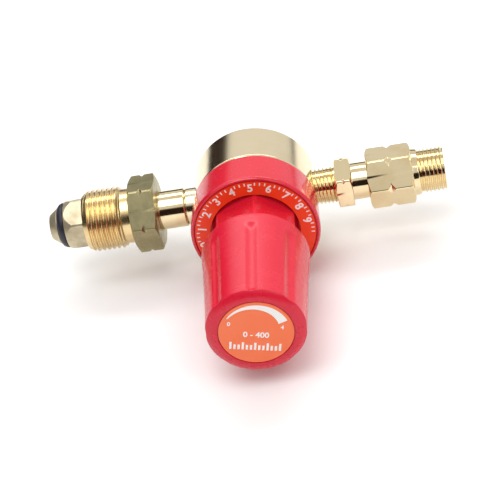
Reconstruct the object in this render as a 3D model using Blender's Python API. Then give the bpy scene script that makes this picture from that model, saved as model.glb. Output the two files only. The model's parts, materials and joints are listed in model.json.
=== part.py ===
"""Adjustable gas regulator with a swivel inlet nut, a spring bonnet and a fluted knob.

The two ports lie on one line along +X, inlet first, and the origin is the inlet's nose tip.
The knob, the spring and the valve lie on a second line that crosses it and runs towards -Y.
"""

from math import ceil, cos, pi, radians, sin, sqrt, tau

import bmesh
import bpy

MM = 0.001

# Clearances
SEAT_GAP = 0.2 * MM
RUNNING_GAP = 0.15 * MM
THREAD_GAP = 0.2 * MM
EDGE = 0.4 * MM

# Inlet nipple, measured along the ports from its nose tip
INLET_BORE = 1.9 * MM
NOSE_TIP_RADIUS = 4.8 * MM
NOSE_LAND = 3.1 * MM
NOSE_LAND_RADIUS = 6.6 * MM
RING_LENGTH = 2.3 * MM
RING_GROOVE_RADIUS = 5.0 * MM
RING_RADIUS = 8.15 * MM
HEAD_LENGTH = 7.05 * MM
HEAD_RADIUS = 9.55 * MM
HEAD_FLATS = 16.9 * MM
HEAD_NOSE_RADIUS = 8.3 * MM
HEAD_NOSE_LENGTH = 3.0 * MM
HEAD_CORNER_ANGLE = 30.0
TAIL_RADIUS = 6.92 * MM
NIPPLE_REACH = 49.8 * MM
NIPPLE_THREAD_RADIUS = 5.9 * MM
NIPPLE_THREAD_LENGTH = 10.8 * MM
FILTER_RADIUS = 3.5 * MM
FILTER_LENGTH = 9.0 * MM
FILTER_WALL = 1.1 * MM

# Inlet nut
NUT_FACE_RADIUS = 9.9 * MM
NUT_THREAD_RADIUS = 11.15 * MM
NUT_THREAD_LENGTH = 12.4 * MM
NUT_SHOULDER_RADIUS = 9.85 * MM
NUT_SHOULDER_LENGTH = 4.9 * MM
NUT_HEX_FLATS = 24.25 * MM
NUT_HEX_LENGTH = 9.5 * MM
NUT_CORNER_ANGLE = 8.0
NUT_NOTCH_DEPTH = 0.85 * MM
NUT_NOTCH_WIDTH = 2.1 * MM

# Body
DRUM_RADIUS = 21.7 * MM
DRUM_BACK = 11.8 * MM
DRUM_EDGE = 0.7 * MM
BOSS_RADIUS = 6.6 * MM
BOSS_STANDOFF = 3.0 * MM
COLLAR_MARGIN = 0.3 * MM
CLAMP_WALL = 3.9 * MM
CLAMP_STEP = 1.8 * MM
FLOOR_RISE = 1.1 * MM
SOCKET_DEPTH = 11.3 * MM
GAS_PASSAGE = 2.0 * MM
RISER_RADIUS = 1.8 * MM
RISER_OFFSET = 10.5 * MM
VALVE_BORE = 3.4 * MM
VALVE_BORE_DEPTH = 9.0 * MM
NOZZLE_BORE = 4.0 * MM
NOZZLE_SEAT = 2.5 * MM

# Valve
VALVE_TRAVEL = 0.8 * MM
VALVE_MARGIN = 0.6 * MM
NOZZLE_HEAD_FLATS = 9.0 * MM
NOZZLE_HEAD_HEIGHT = 1.4 * MM
ORIFICE_RADIUS = 1.0 * MM
WASHER_THICKNESS = 0.6 * MM
WASHER_RADIUS = 6.0 * MM
PAD_THICKNESS = 1.2 * MM
PAD_RADIUS = 2.6 * MM
POPPET_HEIGHT = 4.2 * MM
POPPET_FLATS = 5.5 * MM
PIN_RADIUS = 0.55 * MM
POPPET_WIRE = 0.45 * MM
POPPET_TURNS = 5.0

# Diaphragm stack
STUD_FLANGE_THICKNESS = 0.9 * MM
STUD_FLANGE_RADIUS = 6.0 * MM
STUD_RADIUS = 2.0 * MM
DIAPHRAGM_THICKNESS = 1.0 * MM
CONVOLUTION_WIDTH = 2.2 * MM
CONVOLUTION_HEIGHT = 1.3 * MM
SLIP_RING_THICKNESS = 0.8 * MM
PLATE_THICKNESS = 2.0 * MM
PLATE_MARGIN = 2.9 * MM
PILOT_HEIGHT = 1.5 * MM
STACK_NUT_FLATS = 7.0 * MM
STACK_NUT_HEIGHT = 2.5 * MM

# Bonnet
COLLAR_LENGTH = 15.4 * MM
COLLAR_LIP = 0.5 * MM
COLLAR_FLARE = 0.4 * MM
RIM_WIDTH = 1.4 * MM
LABEL_RECESS = 0.7 * MM
LABEL_THICKNESS = 0.3 * MM
MOAT_DEPTH = 2.2 * MM
MOAT_CLEARANCE = 0.1 * MM
CAST_WALL = 2.5 * MM
BONNET_HEX_FLATS = 26.9 * MM
BONNET_CORNER_ANGLE = 21.2
BONNET_HEX_RISE = 3.3 * MM
BONNET_HEX_LENGTH = 14.4 * MM
HEX_CHAMFER = 1.3 * MM
NECK_WALL = 2.0 * MM
NECK_SHOULDER = 2.0 * MM
SCREW_BOSS_RADIUS = 9.5 * MM
SCREW_ENGAGEMENT = 8.0 * MM
VENT_RADIUS = 1.1 * MM
VENT_POSITION = 30.5 * MM

# Adjusting spring and screw
SPRING_RADIUS = 9.1 * MM
SPRING_WIRE = 1.1 * MM
SPRING_LENGTH = 25.5 * MM
SPRING_TURNS = 6.0
SPRING_SIDE_GAP = 0.7 * MM
BUTTON_THICKNESS = 1.6 * MM
BUTTON_PILOT = 4.6 * MM
BUTTON_PILOT_HEIGHT = 1.4 * MM
DIMPLE_RADIUS = 2.4 * MM
DIMPLE_DEPTH = 0.9 * MM
SCREW_RADIUS = 4.9 * MM
SCREW_COLLAR_RADIUS = 7.0 * MM
SCREW_COLLAR_THICKNESS = 1.5 * MM
SCREW_TIP_LENGTH = 0.8 * MM
SCREW_PITCH = 1.5 * MM
SCREW_TURNS = 5.5
DRIVE_FLATS = 7.4 * MM
DRIVE_CLEARANCE = 1.0 * MM

# Knob
KNOB_STANDOFF = 14.5 * MM
KNOB_LENGTH = 41.0 * MM
KNOB_WALL = 2.25 * MM
SKIRT_CLEARANCE = 0.7 * MM
KNOB_TAPER = 2.1 * MM
KNOB_WAIST = 1.1 * MM
KNOB_BEVEL_LENGTH = 1.5 * MM
KNOB_BEVEL_WIDTH = 3.6 * MM
KNOB_BEVEL_CROWN = 1.2
KNOB_BEVEL_FALL = 1.3
KNOB_FRONT_WALL = 4.0 * MM
KNOB_BOSS_RADIUS = 6.5 * MM
FLUTES = 8
FLUTE_WIDTH = 4.4 * MM
FLUTE_DEPTH = 0.9 * MM
FLUTE_START = 5.0 * MM
FLUTE_RUN_IN = 3.5 * MM
FLUTE_RUN_OUT = 2.0 * MM
FLUTE_ANGLE = 39.8
RIB_COUNT = 4
RIB_THICKNESS = 1.6 * MM
KNOB_LABEL_RECESS = 0.5 * MM
KNOB_LABEL_MARGIN = 0.4 * MM
KNOB_SCREW_RADIUS = 1.9 * MM
KNOB_SCREW_LENGTH = 8.6 * MM
KNOB_SCREW_HEAD_RADIUS = 3.5 * MM
KNOB_SCREW_HEAD_HEIGHT = 2.0 * MM
KNOB_SCREW_WEB = 1.7 * MM
CROSS_SLOT_WIDTH = 0.9 * MM
CROSS_SLOT_DEPTH = 1.1 * MM

# Outlet nipple and adaptor, measured along the ports
TAPER_LENGTH = 15.6 * MM
TAPER_SMALL_RADIUS = 6.0 * MM
TAPER_LARGE_RADIUS = 6.7 * MM
OUTLET_HEX_STANDOFF = 7.6 * MM
OUTLET_HEX_LENGTH = 5.65 * MM
OUTLET_HEX_FLATS = 17.0 * MM
OUTLET_CORNER_ANGLE = 36.0
RELIEF_LENGTH = 0.7 * MM
RELIEF_RADIUS = 6.2 * MM
OUTLET_BORE = 2.4 * MM
NECK_LENGTH = 5.6 * MM
OUTLET_NECK_RADIUS = 6.56 * MM
SPIGOT_RADIUS = 7.0 * MM
SPIGOT_LENGTH = 8.0 * MM
SPIGOT_LEAD = 1.4 * MM
SEAL_THICKNESS = 0.8 * MM
ADAPTOR_HEX_LENGTH = 16.05 * MM
ADAPTOR_HEX_FLATS = 18.75 * MM
ADAPTOR_CORNER_ANGLE = 6.0
ADAPTOR_BORE = 3.2 * MM
ADAPTOR_RING_LENGTH = 2.5 * MM
ADAPTOR_RING_RADIUS = 8.35 * MM
OUTLET_THREAD_RADIUS = 7.93 * MM
OUTLET_THREAD_LENGTH = 8.7 * MM
CONE_MOUTH_RADIUS = 6.2 * MM
CONE_DEPTH = 7.4 * MM
NOTCH_DEPTH = 0.9 * MM
NOTCH_WIDTH = 3.2 * MM
SMALL_NOTCH_DEPTH = 0.5 * MM
SMALL_NOTCH_WIDTH = 1.5 * MM

# Faces around a turned piece, a spring's wire and each turn of a spring
COARSE = 18
MEDIUM = 28
FINE = 40
WIRE_SIDES = 6
COIL_STEPS = 10
BIG_COIL_STEPS = 16
KNOB_BEVEL_STEPS = 4
CURVE_STEPS = 4

# Levels along the knob line, which starts at the port line and runs towards the knob
DRUM_FRONT = BOSS_RADIUS + COLLAR_MARGIN
CHAMBER_FLOOR = DRUM_FRONT + FLOOR_RISE
NOZZLE_TOP = CHAMBER_FLOOR + WASHER_THICKNESS + 2 * SEAT_GAP + NOZZLE_HEAD_HEIGHT
STUD_BOTTOM = NOZZLE_TOP + VALVE_TRAVEL + VALVE_MARGIN
CLAMP_FACE = STUD_BOTTOM + STUD_FLANGE_THICKNESS
DIAPHRAGM_BOTTOM = CLAMP_FACE + SEAT_GAP
DIAPHRAGM_TOP = DIAPHRAGM_BOTTOM + DIAPHRAGM_THICKNESS
SLIP_RING_BOTTOM = DIAPHRAGM_TOP + SEAT_GAP
SHOULDER = SLIP_RING_BOTTOM + SLIP_RING_THICKNESS + SEAT_GAP
PLATE_BOTTOM = DIAPHRAGM_TOP + SEAT_GAP
PLATE_TOP = PLATE_BOTTOM + PLATE_THICKNESS
SPRING_BOTTOM = PLATE_TOP + SEAT_GAP
SPRING_TOP = SPRING_BOTTOM + SPRING_LENGTH
BUTTON_BOTTOM = SPRING_TOP + SEAT_GAP
BUTTON_TOP = BUTTON_BOTTOM + BUTTON_THICKNESS + BUTTON_PILOT_HEIGHT
SCREW_COLLAR_BOTTOM = BUTTON_TOP + SCREW_TIP_LENGTH
SPRING_CEILING = SCREW_COLLAR_BOTTOM + SCREW_COLLAR_THICKNESS + SEAT_GAP
BONNET_TOP = SPRING_CEILING + SCREW_ENGAGEMENT
COLLAR_REAR = DRUM_FRONT + SEAT_GAP
COLLAR_FRONT = COLLAR_REAR + COLLAR_LENGTH
LABEL_SEAT = COLLAR_FRONT - LABEL_RECESS
MOAT_FLOOR = COLLAR_FRONT - MOAT_DEPTH
HEX_START = MOAT_FLOOR + BONNET_HEX_RISE
HEX_END = HEX_START + BONNET_HEX_LENGTH
SCREW_TRAVEL = SCREW_PITCH * SCREW_TURNS
KNOB_REAR = COLLAR_FRONT + KNOB_STANDOFF
KNOB_FRONT = KNOB_REAR + KNOB_LENGTH
KNOB_BOSS_REAR = BONNET_TOP + SCREW_TRAVEL + DRIVE_CLEARANCE
KNOB_SEAT = KNOB_FRONT - KNOB_LABEL_RECESS
HEAD_SEAT = KNOB_SEAT - KNOB_SCREW_HEAD_HEIGHT - 2 * SEAT_GAP
SOCKET_TOP = HEAD_SEAT - KNOB_SCREW_WEB

# Radii that follow from their neighbours
CLAMP_RADIUS = DRUM_RADIUS - CLAMP_STEP
CHAMBER_RADIUS = CLAMP_RADIUS - CLAMP_WALL
BONNET_THREAD_RADIUS = CLAMP_RADIUS + THREAD_GAP
DIAPHRAGM_RADIUS = CLAMP_RADIUS - THREAD_GAP
PLATE_RADIUS = CHAMBER_RADIUS - PLATE_MARGIN - SEAT_GAP
CONVOLUTION_START = PLATE_RADIUS + SEAT_GAP
COLLAR_RADIUS = DRUM_RADIUS + COLLAR_LIP
COLLAR_FRONT_RADIUS = COLLAR_RADIUS + COLLAR_FLARE
RIM_RADIUS = COLLAR_FRONT_RADIUS - RIM_WIDTH
SPRING_CAVITY = SPRING_RADIUS + SPRING_WIRE + SPRING_SIDE_GAP
NECK_RADIUS = SPRING_CAVITY + NECK_WALL
BONNET_CORNER = BONNET_HEX_FLATS / sqrt(3)
MOAT_RADIUS = BONNET_CORNER + MOAT_CLEARANCE
MOAT_ROOT = BONNET_HEX_FLATS / 2 - RUNNING_GAP
SCREW_BORE = SCREW_RADIUS + RUNNING_GAP
SKIRT_RADIUS = BONNET_CORNER + SKIRT_CLEARANCE
KNOB_REAR_RADIUS = SKIRT_RADIUS + KNOB_WALL
KNOB_FRONT_RADIUS = KNOB_REAR_RADIUS - KNOB_TAPER
KNOB_FACE_RADIUS = KNOB_FRONT_RADIUS - KNOB_BEVEL_WIDTH
DRIVE_SOCKET_FLATS = DRIVE_FLATS + 2 * RUNNING_GAP

# Stations along the port line
HEAD_START = NOSE_LAND + RING_LENGTH + 2 * SEAT_GAP
HEAD_END = HEAD_START + HEAD_LENGTH
TAIL_START = HEAD_END + (HEAD_RADIUS - TAIL_RADIUS)
NUT_START = HEAD_END + SEAT_GAP
NUT_THREAD_END = NUT_START + NUT_THREAD_LENGTH
NUT_HEX_START = NUT_THREAD_END + NUT_SHOULDER_LENGTH
NUT_END = NUT_HEX_START + NUT_HEX_LENGTH
BODY_X = NIPPLE_REACH + SEAT_GAP + BOSS_STANDOFF + DRUM_RADIUS
INLET_SOCKET_END = NIPPLE_REACH + SEAT_GAP + SOCKET_DEPTH
OUTLET_HEX_START = BODY_X + DRUM_RADIUS + OUTLET_HEX_STANDOFF
OUTLET_HEX_END = OUTLET_HEX_START + OUTLET_HEX_LENGTH
TAPER_END = OUTLET_HEX_START - RELIEF_LENGTH
TAPER_START = TAPER_END - TAPER_LENGTH
ADAPTOR_START = OUTLET_HEX_END + NECK_LENGTH
SPIGOT_START = ADAPTOR_START + SPIGOT_LEAD
SPIGOT_END = SPIGOT_START + SPIGOT_LENGTH
SEAL_START = SPIGOT_END + SEAT_GAP
SEAL_END = SEAL_START + SEAL_THICKNESS
ADAPTOR_FLOOR = SEAL_END + SEAT_GAP
ADAPTOR_HEX_END = ADAPTOR_START + ADAPTOR_HEX_LENGTH
ADAPTOR_RING_END = ADAPTOR_HEX_END + ADAPTOR_RING_LENGTH
OUTLET_END = ADAPTOR_RING_END + OUTLET_THREAD_LENGTH


def clear_scene():
    for old in list(bpy.data.objects):
        bpy.data.objects.remove(old, do_unlink=True)


def make_material(name, colour, roughness, metallic):
    material = bpy.data.materials.new(name)
    material.use_nodes = True
    shader = material.node_tree.nodes["Principled BSDF"]
    shader.inputs["Base Color"].default_value = (*colour, 1.0)
    shader.inputs["Roughness"].default_value = roughness
    shader.inputs["Metallic"].default_value = metallic
    return material


def make_axis(name, location, rotation):
    axis = bpy.data.objects.new(name, None)
    axis.location = location
    axis.rotation_euler = rotation
    bpy.context.scene.collection.objects.link(axis)
    return axis


def add_part(name, form, axis, along, material, spin=0.0):
    """Turns a bmesh into an object whose origin lies on the axis, this far along it."""
    bmesh.ops.recalc_face_normals(form, faces=form.faces)
    mesh = bpy.data.meshes.new(name)
    form.to_mesh(mesh)
    form.free()
    mesh.shade_smooth()
    mesh.set_sharp_from_angle(angle=radians(30))
    part = bpy.data.objects.new(name, mesh)
    part.parent = axis
    part.location = (0, 0, along)
    part.rotation_euler = (0, 0, spin)
    if material:
        mesh.materials.append(material)
    bpy.context.scene.collection.objects.link(part)
    return part


def combine(part, tool_name, form, axis, along, operation, spin=0.0):
    """Adds a hidden helper to the part with a Boolean modifier."""
    tool = add_part(tool_name, form, axis, along, None, spin)
    tool.hide_render = True
    tool.display_type = "WIRE"
    modifier = part.modifiers.new(tool_name, "BOOLEAN")
    modifier.operation = operation
    modifier.object = tool
    return tool


def cut(part, tool_name, form, axis, along, spin=0.0):
    return combine(part, tool_name, form, axis, along, "DIFFERENCE", spin)


def join(part, tool_name, form, axis, along, spin=0.0):
    return combine(part, tool_name, form, axis, along, "UNION", spin)


def lathe(outline, segments):
    """Turns (along, radius) points round the axis. An outline that starts on the axis also ends on it."""
    form = bmesh.new()
    points = [form.verts.new((radius, 0, along)) for along, radius in outline]
    edges = [form.edges.new(pair) for pair in zip(points, points[1:])]
    if outline[0][1] > 0:
        edges.append(form.edges.new((points[-1], points[0])))
    bmesh.ops.spin(
        form,
        geom=points + edges,
        cent=(0, 0, 0),
        axis=(0, 0, 1),
        angle=tau,
        steps=segments,
        use_merge=True,
    )
    bmesh.ops.remove_doubles(form, verts=form.verts, dist=MM / 10000)
    return form


def disc(start, end, radius, segments):
    return lathe([(start, 0), (start, radius), (end, radius), (end, 0)], segments)


def ring(start, end, inner, outer, segments):
    return lathe([(start, inner), (start, outer), (end, outer), (end, inner)], segments)


def hexagon(flats, along, corner_angle, form):
    """Six points, the first at this angle, with this distance across the flats."""
    radius = flats / sqrt(3)
    angles = [radians(corner_angle + 60 * index) for index in range(6)]
    return [form.verts.new((radius * cos(angle), radius * sin(angle), along)) for angle in angles]


def bridge(form, first, second):
    for index, point in enumerate(first):
        after = (index + 1) % len(first)
        form.faces.new((point, first[after], second[after], second[index]))


def hex_prism(flats, start, end, corner_angle):
    form = bmesh.new()
    bottom = hexagon(flats, start, corner_angle, form)
    top = hexagon(flats, end, corner_angle, form)
    bridge(form, bottom, top)
    form.faces.new(list(reversed(bottom)))
    form.faces.new(top)
    return form


def hex_sleeve(flats, start, end, corner_angle):
    """A thick sleeve with a hexagonal hole, which cuts flats on a turned blank."""
    form = bmesh.new()
    loops = []
    for size, along in ((flats, start), (flats, end), (3 * flats, end), (3 * flats, start)):
        loops.append(hexagon(size, along, corner_angle, form))
    for index, loop in enumerate(loops):
        bridge(form, loop, loops[(index + 1) % len(loops)])
    return form


def hex_blank(start, end, flats, chamfer):
    """Outline points over a hexagon's corners, with both ends chamfered down to the flats."""
    corner = flats / sqrt(3)
    drop = corner - flats / 2
    return [
        (start, corner - drop),
        (start + chamfer, corner),
        (end - chamfer, corner),
        (end, corner - drop),
    ]


def notch_groove(centre, flats, depth, width):
    """A turned V groove that marks a hexagon's corners and stays clear of its flats."""
    corner = flats / sqrt(3)
    outside = corner + depth
    half = width * (outside - corner + depth) / (2 * depth)
    outline = [(centre - half, outside), (centre, corner - depth), (centre + half, outside)]
    return lathe(outline, FINE)


def coil(radius, wire, length, turns, sides, steps_per_turn):
    """A compression spring with one closed turn at each end."""
    form = bmesh.new()
    closed_pitch = 2 * wire + SEAT_GAP
    open_pitch = (length - 2 * wire - 2 * closed_pitch) / (turns - 2)
    steps = ceil(turns * steps_per_turn)
    rings = []
    for step in range(steps + 1):
        turned = turns * step / steps
        opened = min(max(turned - 1, 0), turns - 2)
        closed = turned - opened
        height = wire + closed * closed_pitch + opened * open_pitch
        section = []
        for side in range(sides):
            angle = tau * side / sides
            reach = radius + wire * cos(angle)
            place = (reach * cos(tau * turned), reach * sin(tau * turned), height + wire * sin(angle))
            section.append(form.verts.new(place))
        rings.append(section)
    for first, second in zip(rings, rings[1:]):
        bridge(form, first, second)
    form.faces.new(list(reversed(rings[0])))
    form.faces.new(rings[-1])
    return form


def arc_points(start, end, height, count):
    """Points on a half-wave between two (along, radius) points, raised along the axis."""
    points = []
    for index in range(count + 1):
        share = index / count
        along = start[0] + (end[0] - start[0]) * share + height * sin(pi * share) ** 2
        radius = start[1] + (end[1] - start[1]) * share
        points.append((along, radius))
    return points


def port_angle(corner_angle):
    """A hexagon's turn about the ports, from a corner's height above the knob side."""
    return -90 - corner_angle


def make_inlet_nipple(axis, brass):
    outline = [
        (0, INLET_BORE),
        (0, NOSE_TIP_RADIUS - EDGE),
        (EDGE, NOSE_TIP_RADIUS),
        (NOSE_LAND - EDGE / 2, NOSE_LAND_RADIUS),
        (NOSE_LAND, NOSE_LAND_RADIUS),
        (NOSE_LAND, RING_GROOVE_RADIUS),
        (HEAD_START, RING_GROOVE_RADIUS),
        (HEAD_START, HEAD_NOSE_RADIUS),
        (HEAD_START + HEAD_NOSE_LENGTH, HEAD_RADIUS),
        (HEAD_END, HEAD_RADIUS),
        (TAIL_START, TAIL_RADIUS),
        (NIPPLE_REACH - EDGE, TAIL_RADIUS),
        (NIPPLE_REACH, TAIL_RADIUS - EDGE),
        (NIPPLE_REACH, NIPPLE_THREAD_RADIUS),
        (NIPPLE_REACH + NIPPLE_THREAD_LENGTH - EDGE, NIPPLE_THREAD_RADIUS),
        (NIPPLE_REACH + NIPPLE_THREAD_LENGTH, NIPPLE_THREAD_RADIUS - EDGE),
        (NIPPLE_REACH + NIPPLE_THREAD_LENGTH, FILTER_RADIUS + SEAT_GAP),
        (filter_start() - SEAT_GAP, FILTER_RADIUS + SEAT_GAP),
        (filter_start() - SEAT_GAP, INLET_BORE),
    ]
    nipple = add_part("inlet_nipple", lathe(outline, MEDIUM), axis, 0, brass)
    angle = port_angle(HEAD_CORNER_ANGLE)
    flats = hex_sleeve(HEAD_FLATS, HEAD_START, HEAD_END, angle)
    cut(nipple, "head_flats_cutter", flats, axis, 0)


def filter_start():
    return NIPPLE_REACH + NIPPLE_THREAD_LENGTH - FILTER_LENGTH - SEAT_GAP


def make_inlet_filter(axis, bronze):
    end = filter_start() + FILTER_LENGTH
    outline = [
        (filter_start(), 0),
        (filter_start(), FILTER_RADIUS - EDGE),
        (filter_start() + EDGE, FILTER_RADIUS),
        (end, FILTER_RADIUS),
        (end, FILTER_RADIUS - FILTER_WALL),
        (filter_start() + FILTER_WALL, FILTER_RADIUS - FILTER_WALL),
        (filter_start() + FILTER_WALL, 0),
    ]
    add_part("inlet_filter", lathe(outline, COARSE), axis, 0, bronze)


def make_nose_ring(axis, rubber):
    start = NOSE_LAND + SEAT_GAP
    end = start + RING_LENGTH
    inner = RING_GROOVE_RADIUS + SEAT_GAP
    outline = [(start, inner), (start, NOSE_LAND_RADIUS)]
    for index in range(1, CURVE_STEPS + 1):
        turn = pi / 2 * index / CURVE_STEPS
        along = start + RING_LENGTH * (1 - cos(turn))
        radius = NOSE_LAND_RADIUS + (RING_RADIUS - NOSE_LAND_RADIUS) * sin(turn)
        outline.append((along, radius))
    outline.append((end, inner))
    add_part("nose_ring", lathe(outline, MEDIUM), axis, 0, rubber)


def make_inlet_nut(axis, brass):
    bore = TAIL_RADIUS + RUNNING_GAP
    seat_radius = HEAD_RADIUS + SEAT_GAP / 2
    lead = NUT_THREAD_RADIUS - NUT_FACE_RADIUS
    run_out = NUT_THREAD_RADIUS - NUT_SHOULDER_RADIUS
    hexagon_blank = hex_blank(NUT_HEX_START, NUT_END, NUT_HEX_FLATS, EDGE * 2)
    outline = [
        (NUT_START, seat_radius),
        (NUT_START, NUT_FACE_RADIUS),
        (NUT_START + lead, NUT_THREAD_RADIUS),
        (NUT_THREAD_END, NUT_THREAD_RADIUS),
        (NUT_THREAD_END + run_out, NUT_SHOULDER_RADIUS),
        (NUT_HEX_START, NUT_SHOULDER_RADIUS),
        *hexagon_blank,
        (NUT_END, bore + EDGE),
        (NUT_END - EDGE, bore),
        (NUT_START + seat_radius - bore, bore),
    ]
    form = lathe([(along - NUT_START, radius) for along, radius in outline], FINE)
    nut = add_part("inlet_nut", form, axis, NUT_START, brass)
    angle = port_angle(NUT_CORNER_ANGLE)
    flats = hex_sleeve(NUT_HEX_FLATS, NUT_HEX_START - EDGE, NUT_END + EDGE, angle)
    cut(nut, "nut_flats_cutter", flats, axis, 0)
    middle = NUT_HEX_START + NUT_HEX_LENGTH / 2
    groove = notch_groove(middle, NUT_HEX_FLATS, NUT_NOTCH_DEPTH, NUT_NOTCH_WIDTH)
    cut(nut, "nut_notch_cutter", groove, axis, 0)


def taper_radius(along):
    share = (along - TAPER_START) / TAPER_LENGTH
    return TAPER_SMALL_RADIUS + (TAPER_LARGE_RADIUS - TAPER_SMALL_RADIUS) * share


def make_body(knob_axis, port_axis, brass):
    outline = [
        (-DRUM_BACK, 0),
        (-DRUM_BACK, DRUM_RADIUS - DRUM_EDGE),
        (-DRUM_BACK + DRUM_EDGE, DRUM_RADIUS),
        (DRUM_FRONT, DRUM_RADIUS),
        (DRUM_FRONT, CLAMP_RADIUS),
        (CLAMP_FACE - EDGE, CLAMP_RADIUS),
        (CLAMP_FACE, CLAMP_RADIUS - EDGE),
        (CLAMP_FACE, CHAMBER_RADIUS),
        (CHAMBER_FLOOR, CHAMBER_RADIUS),
        (CHAMBER_FLOOR, NOZZLE_BORE),
        (NOZZLE_SEAT, NOZZLE_BORE),
        (NOZZLE_SEAT, VALVE_BORE),
        (-VALVE_BORE_DEPTH, VALVE_BORE),
        (-VALVE_BORE_DEPTH, 0),
    ]
    body = add_part("body", lathe(outline, FINE), knob_axis, 0, brass)

    boss_face = NIPPLE_REACH + SEAT_GAP
    boss_root = BODY_X - DRUM_RADIUS + BOSS_RADIUS
    boss = lathe(
        [
            (boss_face, 0),
            (boss_face, BOSS_RADIUS - EDGE),
            (boss_face + EDGE, BOSS_RADIUS),
            (boss_root, BOSS_RADIUS),
            (boss_root, 0),
        ],
        MEDIUM,
    )
    join(body, "inlet_boss", boss, port_axis, 0)

    socket = NIPPLE_THREAD_RADIUS + THREAD_GAP
    inlet = lathe(
        [
            (boss_face - EDGE, 0),
            (boss_face - EDGE, socket),
            (INLET_SOCKET_END, socket),
            (INLET_SOCKET_END, GAS_PASSAGE),
            (BODY_X, GAS_PASSAGE),
            (BODY_X, 0),
        ],
        MEDIUM,
    )
    cut(body, "inlet_socket_cutter", inlet, port_axis, 0)

    mouth = BODY_X + DRUM_RADIUS + EDGE
    floor = TAPER_START - SEAT_GAP
    outlet = lathe(
        [
            (BODY_X + RISER_OFFSET - RISER_RADIUS, 0),
            (BODY_X + RISER_OFFSET - RISER_RADIUS, GAS_PASSAGE),
            (floor, GAS_PASSAGE),
            (floor, taper_radius(floor) + THREAD_GAP),
            (mouth, taper_radius(mouth) + THREAD_GAP),
            (mouth, 0),
        ],
        MEDIUM,
    )
    cut(body, "outlet_socket_cutter", outlet, port_axis, 0)
    riser = disc(0, CHAMBER_FLOOR + EDGE, RISER_RADIUS, COARSE)
    tool = cut(body, "riser_cutter", riser, knob_axis, 0)
    tool.location.x = RISER_OFFSET


def make_seat_nozzle(axis, brass):
    shank = NOZZLE_BORE - THREAD_GAP
    head_bottom = NOZZLE_TOP - NOZZLE_HEAD_HEIGHT
    outline = [
        (NOZZLE_SEAT + SEAT_GAP, ORIFICE_RADIUS),
        (NOZZLE_SEAT + SEAT_GAP, shank - EDGE),
        (NOZZLE_SEAT + SEAT_GAP + EDGE, shank),
        (head_bottom, shank),
        *hex_blank(head_bottom, NOZZLE_TOP, NOZZLE_HEAD_FLATS, EDGE / 2),
        (NOZZLE_TOP, ORIFICE_RADIUS),
    ]
    nozzle = add_part("seat_nozzle", lathe(outline, COARSE), axis, 0, brass)
    flats = hex_sleeve(NOZZLE_HEAD_FLATS, head_bottom - EDGE / 2, NOZZLE_TOP + EDGE, 0)
    cut(nozzle, "nozzle_flats_cutter", flats, axis, 0)


def make_nozzle_washer(axis, copper):
    start = CHAMBER_FLOOR + SEAT_GAP
    form = ring(start, start + WASHER_THICKNESS, NOZZLE_BORE, WASHER_RADIUS, COARSE)
    add_part("nozzle_washer", form, axis, 0, copper)


def poppet_top():
    return NOZZLE_SEAT - PAD_THICKNESS - SEAT_GAP


def make_poppet(axis, brass):
    top = poppet_top()
    form = hex_prism(POPPET_FLATS, -POPPET_HEIGHT, 0, 0)
    poppet = add_part("poppet", form, axis, top, brass)
    pin = disc(-EDGE, STUD_BOTTOM - SEAT_GAP - top, PIN_RADIUS, COARSE // 2)
    join(poppet, "poppet_pin", pin, axis, top)


def make_poppet_pad(axis, rubber):
    form = ring(0, PAD_THICKNESS, PIN_RADIUS + SEAT_GAP, PAD_RADIUS, COARSE)
    add_part("poppet_pad", form, axis, poppet_top() + SEAT_GAP, rubber)


def make_poppet_spring(axis, steel):
    bottom = -VALVE_BORE_DEPTH + SEAT_GAP
    top = poppet_top() - POPPET_HEIGHT - SEAT_GAP
    radius = POPPET_FLATS / 2 - POPPET_WIRE
    form = coil(radius, POPPET_WIRE / 2, top - bottom, POPPET_TURNS, WIRE_SIDES, COIL_STEPS)
    add_part("poppet_spring", form, axis, bottom, steel)


def make_diaphragm(axis, rubber):
    start = CONVOLUTION_START
    end = start + CONVOLUTION_WIDTH
    lower = arc_points((0, start), (0, end), CONVOLUTION_HEIGHT, CURVE_STEPS)
    upper = [(along + DIAPHRAGM_THICKNESS, radius) for along, radius in reversed(lower)]
    outline = [
        (0, STUD_RADIUS + SEAT_GAP),
        *lower,
        (0, DIAPHRAGM_RADIUS),
        (DIAPHRAGM_THICKNESS, DIAPHRAGM_RADIUS),
        *upper,
        (DIAPHRAGM_THICKNESS, STUD_RADIUS + SEAT_GAP),
    ]
    add_part("diaphragm", lathe(outline, MEDIUM), axis, DIAPHRAGM_BOTTOM, rubber)


def make_diaphragm_stud(axis, brass):
    top = PLATE_TOP + PILOT_HEIGHT + SEAT_GAP + STACK_NUT_HEIGHT + EDGE
    outline = [
        (0, 0),
        (0, STUD_FLANGE_RADIUS - EDGE),
        (EDGE, STUD_FLANGE_RADIUS),
        (STUD_FLANGE_THICKNESS, STUD_FLANGE_RADIUS),
        (STUD_FLANGE_THICKNESS, STUD_RADIUS),
        (top - STUD_BOTTOM - EDGE, STUD_RADIUS),
        (top - STUD_BOTTOM, STUD_RADIUS - EDGE),
        (top - STUD_BOTTOM, 0),
    ]
    add_part("diaphragm_stud", lathe(outline, COARSE), axis, STUD_BOTTOM, brass)


def make_diaphragm_plate(axis, zinc):
    pilot = SPRING_RADIUS - SPRING_WIRE - SPRING_SIDE_GAP
    top = PLATE_THICKNESS + PILOT_HEIGHT
    bore = STUD_RADIUS + RUNNING_GAP
    outline = [
        (0, bore),
        (0, PLATE_RADIUS - EDGE),
        (EDGE, PLATE_RADIUS),
        (PLATE_THICKNESS, PLATE_RADIUS),
        (PLATE_THICKNESS, pilot),
        (top - EDGE, pilot),
        (top, pilot - EDGE),
        (top, bore),
    ]
    add_part("diaphragm_plate", lathe(outline, MEDIUM), axis, PLATE_BOTTOM, zinc)


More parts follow.
